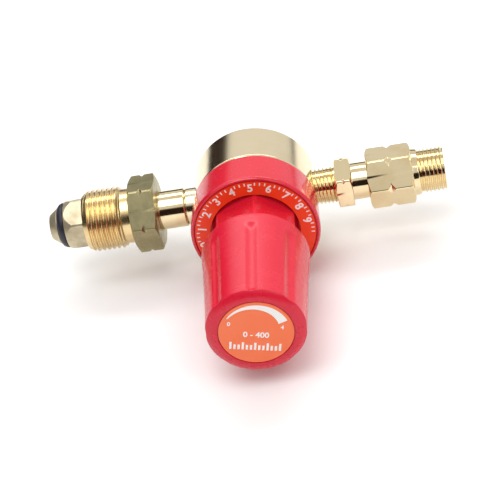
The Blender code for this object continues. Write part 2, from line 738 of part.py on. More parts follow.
def make_diaphragm_nut(axis, steel):
    form = hex_prism(STACK_NUT_FLATS, 0, STACK_NUT_HEIGHT, 0)
    start = PLATE_TOP + PILOT_HEIGHT + SEAT_GAP
    nut = add_part("diaphragm_nut", form, axis, start, steel)
    bore = disc(-EDGE, STACK_NUT_HEIGHT + EDGE, STUD_RADIUS + RUNNING_GAP, COARSE)
    cut(nut, "diaphragm_nut_bore", bore, axis, start)


def make_slip_ring(axis, brass):
    inner = CHAMBER_RADIUS - SEAT_GAP
    form = ring(0, SLIP_RING_THICKNESS, inner, DIAPHRAGM_RADIUS, MEDIUM)
    add_part("slip_ring", form, axis, SLIP_RING_BOTTOM, brass)


def make_main_spring(axis, steel):
    form = coil(SPRING_RADIUS, SPRING_WIRE, SPRING_LENGTH, SPRING_TURNS, WIRE_SIDES, BIG_COIL_STEPS)
    add_part("main_spring", form, axis, SPRING_BOTTOM, steel)


def make_spring_button(axis, steel):
    radius = SPRING_CAVITY - 2 * RUNNING_GAP
    top = BUTTON_THICKNESS + BUTTON_PILOT_HEIGHT
    pilot = SPRING_RADIUS - SPRING_WIRE - SPRING_SIDE_GAP
    outline = [
        (-BUTTON_PILOT_HEIGHT, 0),
        (-BUTTON_PILOT_HEIGHT, pilot - EDGE),
        (EDGE - BUTTON_PILOT_HEIGHT, pilot),
        (0, pilot),
        (0, radius),
        (BUTTON_THICKNESS - EDGE, radius),
        (BUTTON_THICKNESS, radius - EDGE),
        (BUTTON_THICKNESS, BUTTON_PILOT),
        (top, BUTTON_PILOT),
        (top, DIMPLE_RADIUS),
        (top - DIMPLE_DEPTH, 0),
    ]
    add_part("spring_button", lathe(outline, MEDIUM), axis, BUTTON_BOTTOM, steel)


def make_bonnet(axis, red):
    chamber = CHAMBER_RADIUS - SEAT_GAP
    chamber_top = MOAT_FLOOR - CAST_WALL
    corner_drop = BONNET_CORNER - BONNET_HEX_FLATS / 2
    outline = [
        (COLLAR_REAR, BONNET_THREAD_RADIUS),
        (COLLAR_REAR, COLLAR_RADIUS - DRUM_EDGE),
        (COLLAR_REAR + DRUM_EDGE, COLLAR_RADIUS),
        (COLLAR_FRONT - 2 * EDGE, COLLAR_FRONT_RADIUS),
        (COLLAR_FRONT - EDGE / 2, COLLAR_FRONT_RADIUS - EDGE / 2),
        (COLLAR_FRONT, COLLAR_FRONT_RADIUS - 3 * EDGE / 2),
        (COLLAR_FRONT, RIM_RADIUS + EDGE / 2),
        (COLLAR_FRONT - EDGE / 2, RIM_RADIUS),
        (LABEL_SEAT, RIM_RADIUS),
        (LABEL_SEAT, MOAT_RADIUS),
        (MOAT_FLOOR, MOAT_RADIUS),
        (MOAT_FLOOR, MOAT_ROOT),
        (HEX_START, MOAT_ROOT),
        (HEX_START + HEX_CHAMFER, BONNET_CORNER),
        (HEX_END - HEX_CHAMFER, BONNET_CORNER),
        (HEX_END, BONNET_CORNER - corner_drop),
        (HEX_END, NECK_RADIUS),
        (SPRING_CEILING, NECK_RADIUS),
        (SPRING_CEILING + NECK_SHOULDER, SCREW_BOSS_RADIUS),
        (BONNET_TOP - EDGE, SCREW_BOSS_RADIUS),
        (BONNET_TOP, SCREW_BOSS_RADIUS - EDGE),
        (BONNET_TOP, SCREW_BORE),
        (SPRING_CEILING, SCREW_BORE),
        (SPRING_CEILING, SPRING_CAVITY),
        (chamber_top, SPRING_CAVITY),
        (chamber_top, chamber),
        (SHOULDER, chamber),
        (SHOULDER, BONNET_THREAD_RADIUS),
    ]
    bonnet = add_part("bonnet", lathe(outline, FINE), axis, 0, red)
    flats = hex_sleeve(BONNET_HEX_FLATS, HEX_START - EDGE, HEX_END + EDGE, BONNET_CORNER_ANGLE)
    cut(bonnet, "bonnet_flats_cutter", flats, axis, 0)
    vent = disc(0, BONNET_CORNER, VENT_RADIUS, COARSE // 2)
    facet = radians(BONNET_CORNER_ANGLE - 90)
    tool = cut(bonnet, "vent_cutter", vent, axis, VENT_POSITION)
    tool.rotation_euler = (0, radians(90), facet)


def make_ring_label(axis, orange):
    start = LABEL_SEAT + SEAT_GAP
    outer = RIM_RADIUS - SEAT_GAP
    form = ring(start, start + LABEL_THICKNESS, MOAT_RADIUS, outer, FINE)
    add_part("ring_label", form, axis, 0, orange)


def make_pressure_screw(axis, steel):
    tip_bottom = BUTTON_TOP - DIMPLE_DEPTH + SEAT_GAP
    top = SOCKET_TOP - SEAT_GAP
    drive_start = KNOB_BOSS_REAR - SEAT_GAP
    tapped = KNOB_SCREW_RADIUS + SEAT_GAP
    tapped_end = HEAD_SEAT - KNOB_SCREW_LENGTH
    drive_radius = DRIVE_FLATS / sqrt(3)
    outline = [
        (tip_bottom, 0),
        (BUTTON_TOP + SEAT_GAP, DIMPLE_RADIUS - SEAT_GAP),
        (SCREW_COLLAR_BOTTOM, DIMPLE_RADIUS - SEAT_GAP),
        (SCREW_COLLAR_BOTTOM, SCREW_COLLAR_RADIUS),
        (SCREW_COLLAR_BOTTOM + SCREW_COLLAR_THICKNESS, SCREW_COLLAR_RADIUS),
        (SCREW_COLLAR_BOTTOM + SCREW_COLLAR_THICKNESS, SCREW_RADIUS),
        (drive_start - EDGE, SCREW_RADIUS),
        (drive_start, drive_radius),
        (top, drive_radius),
        (top, tapped),
        (tapped_end, tapped),
        (tapped_end, 0),
    ]
    form = lathe([(along - BUTTON_TOP, radius) for along, radius in outline], COARSE)
    screw = add_part("pressure_screw", form, axis, BUTTON_TOP, steel)
    flats = hex_sleeve(DRIVE_FLATS, drive_start, top + EDGE, FLUTE_ANGLE)
    cut(screw, "drive_flats_cutter", flats, axis, 0)


def knob_radius(along):
    """The knob's taper, which is steepest at its rear."""
    share = (KNOB_FRONT - along) / KNOB_LENGTH
    return KNOB_FRONT_RADIUS + (KNOB_TAPER - KNOB_WAIST) * share + KNOB_WAIST * share * share


def knob_rows():
    """(along, radius) rows up the knob's outside, ending with its bevelled front."""
    rows = [(KNOB_REAR, KNOB_REAR_RADIUS - EDGE), (KNOB_REAR + EDGE, knob_radius(KNOB_REAR + EDGE))]
    bevel_start = KNOB_LENGTH - KNOB_BEVEL_LENGTH
    full_start = FLUTE_START + FLUTE_RUN_IN
    full_end = bevel_start - FLUTE_RUN_OUT
    stops = [FLUTE_START, FLUTE_START + FLUTE_RUN_IN / 2, full_start]
    stops += [(full_start + full_end) / 2, full_end, bevel_start]
    for stop in stops:
        rows.append((KNOB_REAR + stop, knob_radius(KNOB_REAR + stop)))
    edge_radius = rows[-1][1]
    for index in range(1, KNOB_BEVEL_STEPS + 1):
        share = index / KNOB_BEVEL_STEPS
        rise = sin(pi / 2 * share) ** KNOB_BEVEL_CROWN
        drop = share**KNOB_BEVEL_FALL
        radius = edge_radius + (KNOB_FACE_RADIUS - edge_radius) * drop
        rows.append((KNOB_REAR + bevel_start + KNOB_BEVEL_LENGTH * rise, radius))
    return rows


def flute_cut(angle, along):
    """How deep the nearest flute is at this angle and height."""
    pitch = tau / FLUTES
    offset = (angle - radians(FLUTE_ANGLE) + pitch / 2) % pitch - pitch / 2
    across = abs(offset) * knob_radius(along) / (FLUTE_WIDTH / 2)
    if across >= 1:
        return 0.0
    run_in = (along - KNOB_REAR - FLUTE_START) / FLUTE_RUN_IN
    run_out = (KNOB_FRONT - KNOB_BEVEL_LENGTH - along) / FLUTE_RUN_OUT
    share = min(max(run_in, 0), max(run_out, 0), 1)
    return FLUTE_DEPTH * (1 - across * across) * sin(pi / 2 * share)


def knob_angles():
    """Angles round the knob, closer together in the flutes."""
    pitch = tau / FLUTES
    half_flute = FLUTE_WIDTH / 2 / KNOB_FRONT_RADIUS
    in_flute = [-half_flute, -half_flute / 2, 0, half_flute / 2, half_flute]
    gap = pitch - 2 * half_flute
    on_lobe = [half_flute + gap / 3, half_flute + gap * 2 / 3]
    angles = []
    for flute in range(FLUTES):
        centre = radians(FLUTE_ANGLE) + pitch * flute
        angles += [centre + offset for offset in in_flute + on_lobe]
    return angles


def knob_shell():
    """The knob's fluted outside as one solid."""
    form = bmesh.new()
    angles = knob_angles()
    loops = []
    for along, radius in knob_rows():
        loop = []
        for angle in angles:
            reach = min(radius, knob_radius(along) - flute_cut(angle, along))
            loop.append(form.verts.new((reach * cos(angle), reach * sin(angle), along)))
        loops.append(loop)
    for first, second in zip(loops, loops[1:]):
        bridge(form, first, second)
    form.faces.new(list(reversed(loops[0])))
    form.faces.new(loops[-1])
    return form


def add_ribs(knob, axis, ceiling):
    """Thin webs that stiffen the boss against the knob's wall."""
    inner = KNOB_BOSS_RADIUS - EDGE
    outer = knob_radius(ceiling) - KNOB_WALL
    height = ceiling - KNOB_BOSS_REAR
    for index in range(RIB_COUNT):
        rib = bmesh.new()
        bmesh.ops.create_cube(rib, size=1)
        bmesh.ops.scale(rib, vec=(outer - inner, RIB_THICKNESS, height), verts=rib.verts)
        bmesh.ops.translate(rib, vec=((outer + inner) / 2, 0, height / 2 + EDGE), verts=rib.verts)
        turn = radians(FLUTE_ANGLE) + tau * index / RIB_COUNT
        join(knob, "rib_" + str(index + 1), rib, axis, KNOB_BOSS_REAR, turn)


def make_knob(axis, red):
    form = knob_shell()
    bmesh.ops.translate(form, verts=form.verts, vec=(0, 0, -KNOB_REAR))
    knob = add_part("knob", form, axis, KNOB_REAR, red)
    ceiling = KNOB_FRONT - KNOB_FRONT_WALL
    cavity = lathe(
        [
            (KNOB_REAR - EDGE, 0),
            (KNOB_REAR - EDGE, SKIRT_RADIUS),
            (KNOB_REAR + FLUTE_START, knob_radius(KNOB_REAR + FLUTE_START) - KNOB_WALL),
            (ceiling, knob_radius(ceiling) - KNOB_WALL - EDGE),
            (ceiling, KNOB_BOSS_RADIUS),
            (KNOB_BOSS_REAR, KNOB_BOSS_RADIUS),
            (KNOB_BOSS_REAR, 0),
        ],
        MEDIUM,
    )
    cut(knob, "knob_cavity_cutter", cavity, axis, 0)
    add_ribs(knob, axis, ceiling)
    socket = hex_prism(DRIVE_SOCKET_FLATS, KNOB_BOSS_REAR - EDGE, SOCKET_TOP, FLUTE_ANGLE)
    cut(knob, "drive_socket_cutter", socket, axis, 0)
    face_recess = KNOB_FACE_RADIUS - KNOB_LABEL_MARGIN
    recess = lathe(
        [
            (SOCKET_TOP - EDGE, 0),
            (SOCKET_TOP - EDGE, KNOB_SCREW_RADIUS + SEAT_GAP),
            (HEAD_SEAT, KNOB_SCREW_RADIUS + SEAT_GAP),
            (HEAD_SEAT, KNOB_SCREW_HEAD_RADIUS + SEAT_GAP),
            (KNOB_SEAT, KNOB_SCREW_HEAD_RADIUS + SEAT_GAP),
            (KNOB_SEAT, face_recess),
            (KNOB_FRONT + EDGE, face_recess),
            (KNOB_FRONT + EDGE, 0),
        ],
        MEDIUM,
    )
    cut(knob, "knob_front_cutter", recess, axis, 0)


def make_knob_screw(axis, steel):
    start = HEAD_SEAT + SEAT_GAP
    outline = [
        (-KNOB_SCREW_LENGTH + 2 * SEAT_GAP, 0),
        (-KNOB_SCREW_LENGTH + 2 * SEAT_GAP, KNOB_SCREW_RADIUS - EDGE),
        (-KNOB_SCREW_LENGTH + 2 * SEAT_GAP + EDGE, KNOB_SCREW_RADIUS),
        (0, KNOB_SCREW_RADIUS),
        (0, KNOB_SCREW_HEAD_RADIUS),
        (KNOB_SCREW_HEAD_HEIGHT - EDGE, KNOB_SCREW_HEAD_RADIUS),
        (KNOB_SCREW_HEAD_HEIGHT, KNOB_SCREW_HEAD_RADIUS - EDGE),
        (KNOB_SCREW_HEAD_HEIGHT, 0),
    ]
    screw = add_part("knob_screw", lathe(outline, COARSE), axis, start, steel)
    slot = bmesh.new()
    bmesh.ops.create_cube(slot, size=1)
    size = (2 * KNOB_SCREW_HEAD_RADIUS + EDGE, CROSS_SLOT_WIDTH, 2 * CROSS_SLOT_DEPTH)
    bmesh.ops.scale(slot, vec=size, verts=slot.verts)
    cut(screw, "screw_slot_cutter", slot, axis, start + KNOB_SCREW_HEAD_HEIGHT, radians(FLUTE_ANGLE))


def make_knob_label(axis, orange):
    start = KNOB_SEAT + SEAT_GAP
    radius = KNOB_FACE_RADIUS - KNOB_LABEL_MARGIN - SEAT_GAP
    form = disc(0, LABEL_THICKNESS, radius, FINE)
    add_part("knob_label", form, axis, start, orange)


def make_outlet_nipple(axis, brass):
    outline = [
        (TAPER_START, OUTLET_BORE),
        (TAPER_START, taper_radius(TAPER_START) - EDGE),
        (TAPER_START + EDGE, taper_radius(TAPER_START + EDGE)),
        (TAPER_END, TAPER_LARGE_RADIUS),
        (TAPER_END + RELIEF_LENGTH / 2, RELIEF_RADIUS),
        (OUTLET_HEX_START, RELIEF_RADIUS),
        *hex_blank(OUTLET_HEX_START, OUTLET_HEX_END, OUTLET_HEX_FLATS, EDGE * 1.5),
        (OUTLET_HEX_END, OUTLET_NECK_RADIUS),
        (SPIGOT_START, OUTLET_NECK_RADIUS),
        (SPIGOT_START + EDGE, SPIGOT_RADIUS),
        (SPIGOT_END - EDGE, SPIGOT_RADIUS),
        (SPIGOT_END, SPIGOT_RADIUS - EDGE),
        (SPIGOT_END, OUTLET_BORE),
    ]
    nipple = add_part("outlet_nipple", lathe(outline, MEDIUM), axis, 0, brass)
    angle = port_angle(OUTLET_CORNER_ANGLE)
    flats = hex_sleeve(OUTLET_HEX_FLATS, OUTLET_HEX_START - EDGE / 2, OUTLET_HEX_END + EDGE, angle)
    cut(nipple, "outlet_flats_cutter", flats, axis, 0)
    middle = (OUTLET_HEX_START + OUTLET_HEX_END) / 2
    groove = notch_groove(middle, OUTLET_HEX_FLATS, SMALL_NOTCH_DEPTH, SMALL_NOTCH_WIDTH)
    cut(nipple, "outlet_notch_cutter", groove, axis, 0)


def make_outlet_seal(axis, fibre):
    form = ring(SEAL_START, SEAL_END, ADAPTOR_BORE, SPIGOT_RADIUS - EDGE, COARSE)
    add_part("outlet_seal", form, axis, 0, fibre)


def make_outlet_adaptor(axis, brass):
    socket = SPIGOT_RADIUS + THREAD_GAP
    outline = [
        (ADAPTOR_START, socket + EDGE),
        *hex_blank(ADAPTOR_START, ADAPTOR_HEX_END, ADAPTOR_HEX_FLATS, EDGE * 2),
        (ADAPTOR_HEX_END, ADAPTOR_RING_RADIUS),
        (ADAPTOR_RING_END - EDGE, ADAPTOR_RING_RADIUS - EDGE),
        (ADAPTOR_RING_END, OUTLET_THREAD_RADIUS - EDGE),
        (ADAPTOR_RING_END + EDGE, OUTLET_THREAD_RADIUS),
        (OUTLET_END - EDGE, OUTLET_THREAD_RADIUS),
        (OUTLET_END, OUTLET_THREAD_RADIUS - EDGE),
        (OUTLET_END, CONE_MOUTH_RADIUS),
        (OUTLET_END - CONE_DEPTH, ADAPTOR_BORE),
        (ADAPTOR_FLOOR, ADAPTOR_BORE),
        (ADAPTOR_FLOOR, socket),
        (ADAPTOR_START + EDGE, socket),
    ]
    adaptor = add_part("outlet_adaptor", lathe(outline, MEDIUM), axis, 0, brass)
    angle = port_angle(ADAPTOR_CORNER_ANGLE)
    flats = hex_sleeve(ADAPTOR_HEX_FLATS, ADAPTOR_START - EDGE, ADAPTOR_HEX_END, angle)
    cut(adaptor, "adaptor_flats_cutter", flats, axis, 0)
    middle = (ADAPTOR_START + ADAPTOR_HEX_END) / 2
    groove = notch_groove(middle, ADAPTOR_HEX_FLATS, NOTCH_DEPTH, NOTCH_WIDTH)
    cut(adaptor, "adaptor_notch_cutter", groove, axis, 0)


def make_regulator():
    clear_scene()
    port_axis = make_axis("port_axis", (0, 0, 0), (0, radians(90), 0))
    knob_axis = make_axis("knob_axis", (BODY_X, 0, 0), (radians(90), 0, 0))

    brass = make_material("polished brass", (0.78, 0.62, 0.33), 0.22, 1.0)
    dull_brass = make_material("sawn brass", (0.50, 0.44, 0.24), 0.42, 1.0)
    bronze = make_material("sintered bronze", (0.45, 0.30, 0.16), 0.8, 1.0)
    copper = make_material("copper washer", (0.72, 0.37, 0.24), 0.35, 1.0)
    steel = make_material("plated steel", (0.66, 0.67, 0.66), 0.3, 1.0)
    zinc = make_material("zinc plate", (0.60, 0.61, 0.63), 0.45, 1.0)
    rubber = make_material("black rubber", (0.02, 0.02, 0.025), 0.35, 0.0)
    fibre = make_material("red fibre", (0.42, 0.10, 0.06), 0.75, 0.0)
    enamel = make_material("red enamel", (0.78, 0.03, 0.05), 0.3, 0.0)
    plastic = make_material("red plastic", (0.82, 0.04, 0.06), 0.32, 0.0)
    orange = make_material("orange label", (0.90, 0.10, 0.02), 0.45, 0.0)

    make_inlet_nipple(port_axis, brass)
    make_nose_ring(port_axis, rubber)
    make_inlet_filter(port_axis, bronze)
    make_inlet_nut(port_axis, dull_brass)
    make_body(knob_axis, port_axis, brass)
    make_seat_nozzle(knob_axis, brass)
    make_nozzle_washer(knob_axis, copper)
    make_poppet(knob_axis, brass)
    make_poppet_pad(knob_axis, rubber)
    make_poppet_spring(knob_axis, steel)
    make_diaphragm(knob_axis, rubber)
    make_diaphragm_stud(knob_axis, brass)
    make_diaphragm_plate(knob_axis, zinc)
    make_diaphragm_nut(knob_axis, steel)
    make_slip_ring(knob_axis, brass)
    make_main_spring(knob_axis, steel)
    make_spring_button(knob_axis, steel)
    make_bonnet(knob_axis, enamel)
    make_ring_label(knob_axis, orange)
    make_pressure_screw(knob_axis, steel)
    make_knob(knob_axis, plastic)
    make_knob_screw(knob_axis, steel)
    make_knob_label(knob_axis, orange)
    make_outlet_nipple(port_axis, brass)
    make_outlet_seal(port_axis, fibre)
    make_outlet_adaptor(port_axis, brass)


make_regulator()
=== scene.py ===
import json
from math import ceil, cos, pi, radians, sin, sqrt, tau
from types import SimpleNamespace

import bmesh
import bpy
from mathutils import Matrix, Vector


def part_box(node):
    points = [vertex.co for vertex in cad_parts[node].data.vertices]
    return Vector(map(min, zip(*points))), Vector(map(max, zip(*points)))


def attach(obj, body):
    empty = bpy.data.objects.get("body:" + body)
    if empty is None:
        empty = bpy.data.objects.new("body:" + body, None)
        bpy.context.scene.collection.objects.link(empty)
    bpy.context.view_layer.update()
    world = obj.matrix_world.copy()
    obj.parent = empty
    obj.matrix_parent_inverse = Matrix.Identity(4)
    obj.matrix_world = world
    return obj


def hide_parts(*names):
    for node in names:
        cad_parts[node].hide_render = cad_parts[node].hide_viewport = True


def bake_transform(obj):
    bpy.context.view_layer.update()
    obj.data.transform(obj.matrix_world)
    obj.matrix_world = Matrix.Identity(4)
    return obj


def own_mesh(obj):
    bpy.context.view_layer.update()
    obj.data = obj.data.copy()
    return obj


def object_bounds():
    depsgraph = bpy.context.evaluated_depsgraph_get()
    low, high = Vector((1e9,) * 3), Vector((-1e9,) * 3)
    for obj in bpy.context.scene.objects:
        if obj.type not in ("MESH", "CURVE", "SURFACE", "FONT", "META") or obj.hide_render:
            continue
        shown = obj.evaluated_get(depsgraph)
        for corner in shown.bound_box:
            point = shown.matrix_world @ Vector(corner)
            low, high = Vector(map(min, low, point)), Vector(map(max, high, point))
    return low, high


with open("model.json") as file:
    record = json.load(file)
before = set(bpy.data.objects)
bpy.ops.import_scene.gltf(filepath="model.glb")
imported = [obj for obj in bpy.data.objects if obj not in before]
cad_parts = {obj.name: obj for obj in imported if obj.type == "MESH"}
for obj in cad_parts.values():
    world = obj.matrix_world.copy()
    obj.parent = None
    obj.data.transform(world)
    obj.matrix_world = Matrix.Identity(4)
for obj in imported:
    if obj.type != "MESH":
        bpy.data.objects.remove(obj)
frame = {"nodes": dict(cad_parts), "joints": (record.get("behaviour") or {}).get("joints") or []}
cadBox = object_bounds()
mm = 0.001

labelLow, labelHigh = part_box("knob_label")
knobX = (labelLow.x + labelHigh.x) / 2
print("frame loaded, knob line at x =", round(knobX / mm, 2), "mm")

# how far the rounding of an edge reaches, from a crisp one to a full one
crisp, fine, slight = 0.05 * mm, 0.1 * mm, 0.15 * mm
soft, wide, broad = 0.2 * mm, 0.3 * mm, 0.4 * mm
edgeBreak = 0.4  # chamfer of machined ends, in mm
weld = 1e-7  # vertices closer than this are one
hexFaces = 6


def sized(sizes):
    return SimpleNamespace(**sizes)


# every turned piece is a grid of rows along its line and columns round it
def onPorts(along, radius, angle):
    return (along, -radius * cos(angle), radius * sin(angle))


def onKnobLine(along, radius, angle):
    return (knobX + radius * cos(angle), -along, radius * sin(angle))


def rounded(corners, steps=3):
    # corners are (along, radius, how far the rounding reaches from the corner)
    points = []
    for index, (along, radius, reach) in enumerate(corners):
        here = Vector((along, radius))
        if reach == 0:
            points.append((along, radius))
            continue
        back = Vector(corners[index - 1][:2]) - here
        ahead = Vector(corners[(index + 1) % len(corners)][:2]) - here
        reach = min(reach, 0.45 * back.length, 0.45 * ahead.length)
        first = here + (back.normalized() * reach if back.length else back)
        last = here + (ahead.normalized() * reach if ahead.length else ahead)
        for step in range(steps + 1):
            share = step / steps
            spot = first * (1 - share) ** 2 + here * 2 * share * (1 - share) + last * share**2
            points.append((spot.x, spot.y))
    return points


def asObject(name, form, sharpAngle=34):
    bmesh.ops.remove_doubles(form, verts=form.verts, dist=weld)
    bmesh.ops.recalc_face_normals(form, faces=form.faces)
    mesh = bpy.data.meshes.new(name)
    form.to_mesh(mesh)
    form.free()
    mesh.shade_smooth()
    mesh.set_sharp_from_angle(angle=radians(sharpAngle))
    piece = bpy.data.objects.new(name, mesh)
    bpy.context.scene.collection.objects.link(piece)
    modifier = piece.modifiers.new("flat faces stay flat", "WEIGHTED_NORMAL")
    modifier.keep_sharp = True
    return piece


def addGrid(form, angles, profile, place):
    rings = []
    for angle in angles:
        rings.append([form.verts.new(place(along, radius, angle)) for along, radius in profile(angle)])
    for here, there in zip(rings, rings[1:] + rings[:1]):
        for index in range(len(here)):
            after = (index + 1) % len(here)
            form.faces.new((here[index], here[after], there[after], there[index]))


def turned(name, angles, profile, place, sharpAngle=34):
    form = bmesh.new()
    addGrid(form, angles, profile, place)
    return asObject(name, form, sharpAngle)


def evenAngles(count):
    return [tau * index / count for index in range(count)]


def hexAngles(corner):
    # columns crowd round each corner, where the notches and chamfers curve
    half = [0, 0.5, 1.2, 2.2, 3.6, 5.2, 6.6, 7.4, 10, 14, 18, 22, 26]
    side = half + [30] + [60 - step for step in reversed(half[1:])]
    return [radians(corner + 60 * face + step) for face in range(hexFaces) for step in side]


def hexRadius(flats, corner, angle, blunt):
    offset = (angle - radians(corner)) % radians(60) - radians(30)
    return min(flats / 2 / cos(offset), flats / sqrt(3) - blunt)


def hexSide(start, end, flats, corner, angle, chamfers, notch=None, blunt=0.12 * mm, soft=0.12 * mm):
    # one column of a hexagon: chamfer, flat, V notch, flat, chamfer
    reach = hexRadius(flats, corner, angle, blunt)
    point = flats / sqrt(3)
    rise = reach - flats / 2
    first, last = [chamfer * rise / (point - flats / 2) for chamfer in chamfers]
    rows = [(start, flats / 2, soft), (start + first, reach, soft)]
    if notch:
        middle, depth, width = notch
        root = point - depth
        half = max(reach - root, 0) * width / (2 * depth)
        rows += [(middle - half, reach, soft), (middle, min(reach, root), soft / 2)]
        rows += [(middle + half, reach, soft)]
    rows += [(end - last, reach, soft), (end, flats / 2, soft)]
    return rows


def threadRows(start, end, crest, root, pitch, hand, lead, runOut, angle, taper=0.0):
    # hand is 1 for a left-hand thread and -1 for a right-hand one
    rowsPerTurn = 14
    fullness = 0.85  # below 1 the crests are narrower than the roots
    count = ceil((end - start) / pitch * rowsPerTurn)
    rows = []
    for index in range(count + 1):
        along = start + (end - start) * index / count
        wave = 0.5 - 0.5 * cos(tau * (along / pitch - hand * angle / tau))
        grow = taper * (along - start)
        radius = crest + grow - (crest - root) * wave**fullness
        radius = min(radius, root + lead[0] + (along - start) * lead[1] + grow)
        radius = min(radius, root + runOut[0] + (end - along) * runOut[1] + grow)
        rows.append((along, radius, 0))
    return rows


class Value:
    # a shader socket that can be used in sums
    def __init__(self, paint, socket):
        self.paint = paint
        self.socket = socket

    def sum(self, operation, first, second):
        return self.paint.add("Math", {"operation": operation}, {0: first, 1: second})

    def __add__(self, other):
        return self.sum("ADD", self, other)

    def __radd__(self, other):
        return self.sum("ADD", other, self)

    def __sub__(self, other):
        return self.sum("SUBTRACT", self, other)

    def __rsub__(self, other):
        return self.sum("SUBTRACT", other, self)

    def __mul__(self, other):
        return self.sum("MULTIPLY", self, other)

    def __rmul__(self, other):
        return self.sum("MULTIPLY", other, self)

    def __pow__(self, other):
        return self.sum("POWER", self, other)

    def __rpow__(self, other):
        return self.sum("POWER", other, self)


class Paint:
    def __init__(self, name, owner=None):
        self.material = owner or bpy.data.materials.new(name)
        self.material.use_nodes = True
        self.tree = self.material.node_tree
        self.tree.nodes.clear()

    def feed(self, socket, item):
        if isinstance(item, Value):
            self.tree.links.new(item.socket, socket)
        elif isinstance(item, tuple) and len(item) == 3 and socket.type == "RGBA":
            socket.default_value = (*item, 1)
        else:
            socket.default_value = item

    def add(self, kind, settings=None, sockets=None, out=0):
        node = self.tree.nodes.new("ShaderNode" + kind)
        for name, setting in (settings or {}).items():
            setattr(node, name, setting)
        for name, item in (sockets or {}).items():
            self.feed(node.inputs[name], item)
        return Value(self, node.outputs[out]) if node.outputs else node

    def place(self, space="Object"):
        spot = self.add("TexCoord", out=space)
        parts = self.add("SeparateXYZ", {}, {0: spot}).socket.node
        return spot, [Value(self, output) for output in parts.outputs]

    def vector(self, x, y, z):
        return self.add("CombineXYZ", {}, {0: x, 1: y, 2: z})

    def noise(self, vector, scale, detail=2.0, rough=0.5):
        return self.add("TexNoise", {}, {"Vector": vector, "Scale": scale, "Detail": detail,
                                         "Roughness": rough})

    def band(self, value, low, high):
        # 0 below low, 1 above high, smooth between
        return self.add("MapRange", {"interpolation_type": "SMOOTHSTEP"},
                        {"Value": value, "From Min": low, "From Max": high})

    def between(self, factor, first, second):
        return self.add("Mix", {"data_type": "RGBA"}, {0: factor, 6: first, 7: second}, out=2)

    def bump(self, height, strength, distance, under=None):
        sockets = {"Height": height, "Strength": strength, "Distance": distance}
        if under:
            sockets["Normal"] = under
        return self.add("Bump", {}, sockets)

    def finish(self, **sockets):
        names = {"colour": "Base Color", "rough": "Roughness", "metal": "Metallic", "coat": "Coat Weight",
                 "coatRough": "Coat Roughness", "normal": "Normal", "specular": "Specular IOR Level",
                 "inside": "Subsurface Weight", "insideScale": "Subsurface Scale",
                 "insideRadius": "Subsurface Radius"}
        shader = self.add("BsdfPrincipled", {}, {names[key]: item for key, item in sockets.items()})
        self.add("OutputMaterial", {}, {0: shader})
        return self.material


def portDistance(parts):
    return (parts[1] * parts[1] + parts[2] * parts[2]) ** 0.5


def knobDistance(parts):
    across = parts[0] - knobX
    return (across * across + parts[2] * parts[2]) ** 0.5


polishedLook = {"colour": (0.83, 0.70, 0.44), "dull": (0.68, 0.47, 0.22), "rough": 0.09, "roughSpread": 0.05,
                "lineRough": 0.06, "lines": 5200.0, "grain": 3500.0, "tarnish": 0.3, "streak": 0.1,
                "lineDepth": 0.10, "grainDepth": 0.03}
satinLook = {"colour": (0.86, 0.75, 0.52), "dull": (0.74, 0.58, 0.34), "rough": 0.16, "roughSpread": 0.05,
             "lineRough": 0.06, "lines": 4200.0, "grain": 3000.0, "tarnish": 0.2, "streak": 0.08,
             "lineDepth": 0.16, "grainDepth": 0.04}


def brassFinish(name, look, onKnob=False):
    paint = Paint(name)
    spot, parts = paint.place()
    reach = knobDistance(parts) if onKnob else portDistance(parts)
    along = parts[1] if onKnob else parts[0]
    cutLines = paint.noise(paint.vector(along, reach, 0.0), look["lines"], 3.0, 0.6)
    grain = paint.noise(spot, look["grain"], 4.0, 0.6)
    patches = paint.noise(spot, 90.0, 3.0, 0.55)
    tarnish = paint.band(patches, 0.45, 0.72)
    colour = paint.between(tarnish * look["tarnish"], look["colour"], look["dull"])
    colour = paint.between(paint.band(cutLines, 0.35, 0.75) * look["streak"], colour, look["dull"])
    rough = look["rough"] + (patches - 0.5) * look["roughSpread"] + (cutLines - 0.5) * look["lineRough"]
    normal = paint.bump(cutLines, look["lineDepth"], 0.03 * mm)
    normal = paint.bump(grain, look["grainDepth"], 0.02 * mm, normal)
    return paint.finish(colour=colour, rough=rough, metal=1.0, normal=normal)


nippleLook = {"dullUntil": 12.6, "brightFrom": 14.0, "patches": 170.0, "pale": (0.60, 0.53, 0.37),
              "stained": (0.46, 0.39, 0.26), "dullRough": 0.46, "roughSpread": 0.12, "grainDepth": 0.06}


def nippleFinish(look, tailLook):
    # the tail is polished, and the nose and the head stay dull from pickling
    paint = Paint("inlet nipple brass")
    spot, parts = paint.place()
    tail = paint.band(parts[0], look["dullUntil"] * mm, look["brightFrom"] * mm)
    cutLines = paint.noise(paint.vector(parts[0], portDistance(parts), 0.0), tailLook["lines"], 3.0, 0.6)
    grain = paint.noise(spot, tailLook["grain"], 4.0, 0.6)
    patches = paint.noise(spot, look["patches"], 4.0, 0.6)
    stains = paint.band(patches, 0.38, 0.66)
    dull = paint.between(stains, look["pale"], look["stained"])
    bright = paint.between(stains * tailLook["tarnish"], tailLook["colour"], tailLook["dull"])
    colour = paint.between(tail, dull, bright)
    rough = look["dullRough"] + tail * (tailLook["rough"] - look["dullRough"])
    rough = rough + (patches - 0.5) * look["roughSpread"] * (1.4 - tail)
    normal = paint.bump(cutLines, tailLook["lineDepth"], 0.03 * mm)
    normal = paint.bump(grain, look["grainDepth"], 0.02 * mm, normal)
    return paint.finish(colour=colour, rough=rough, metal=1.0, normal=normal)


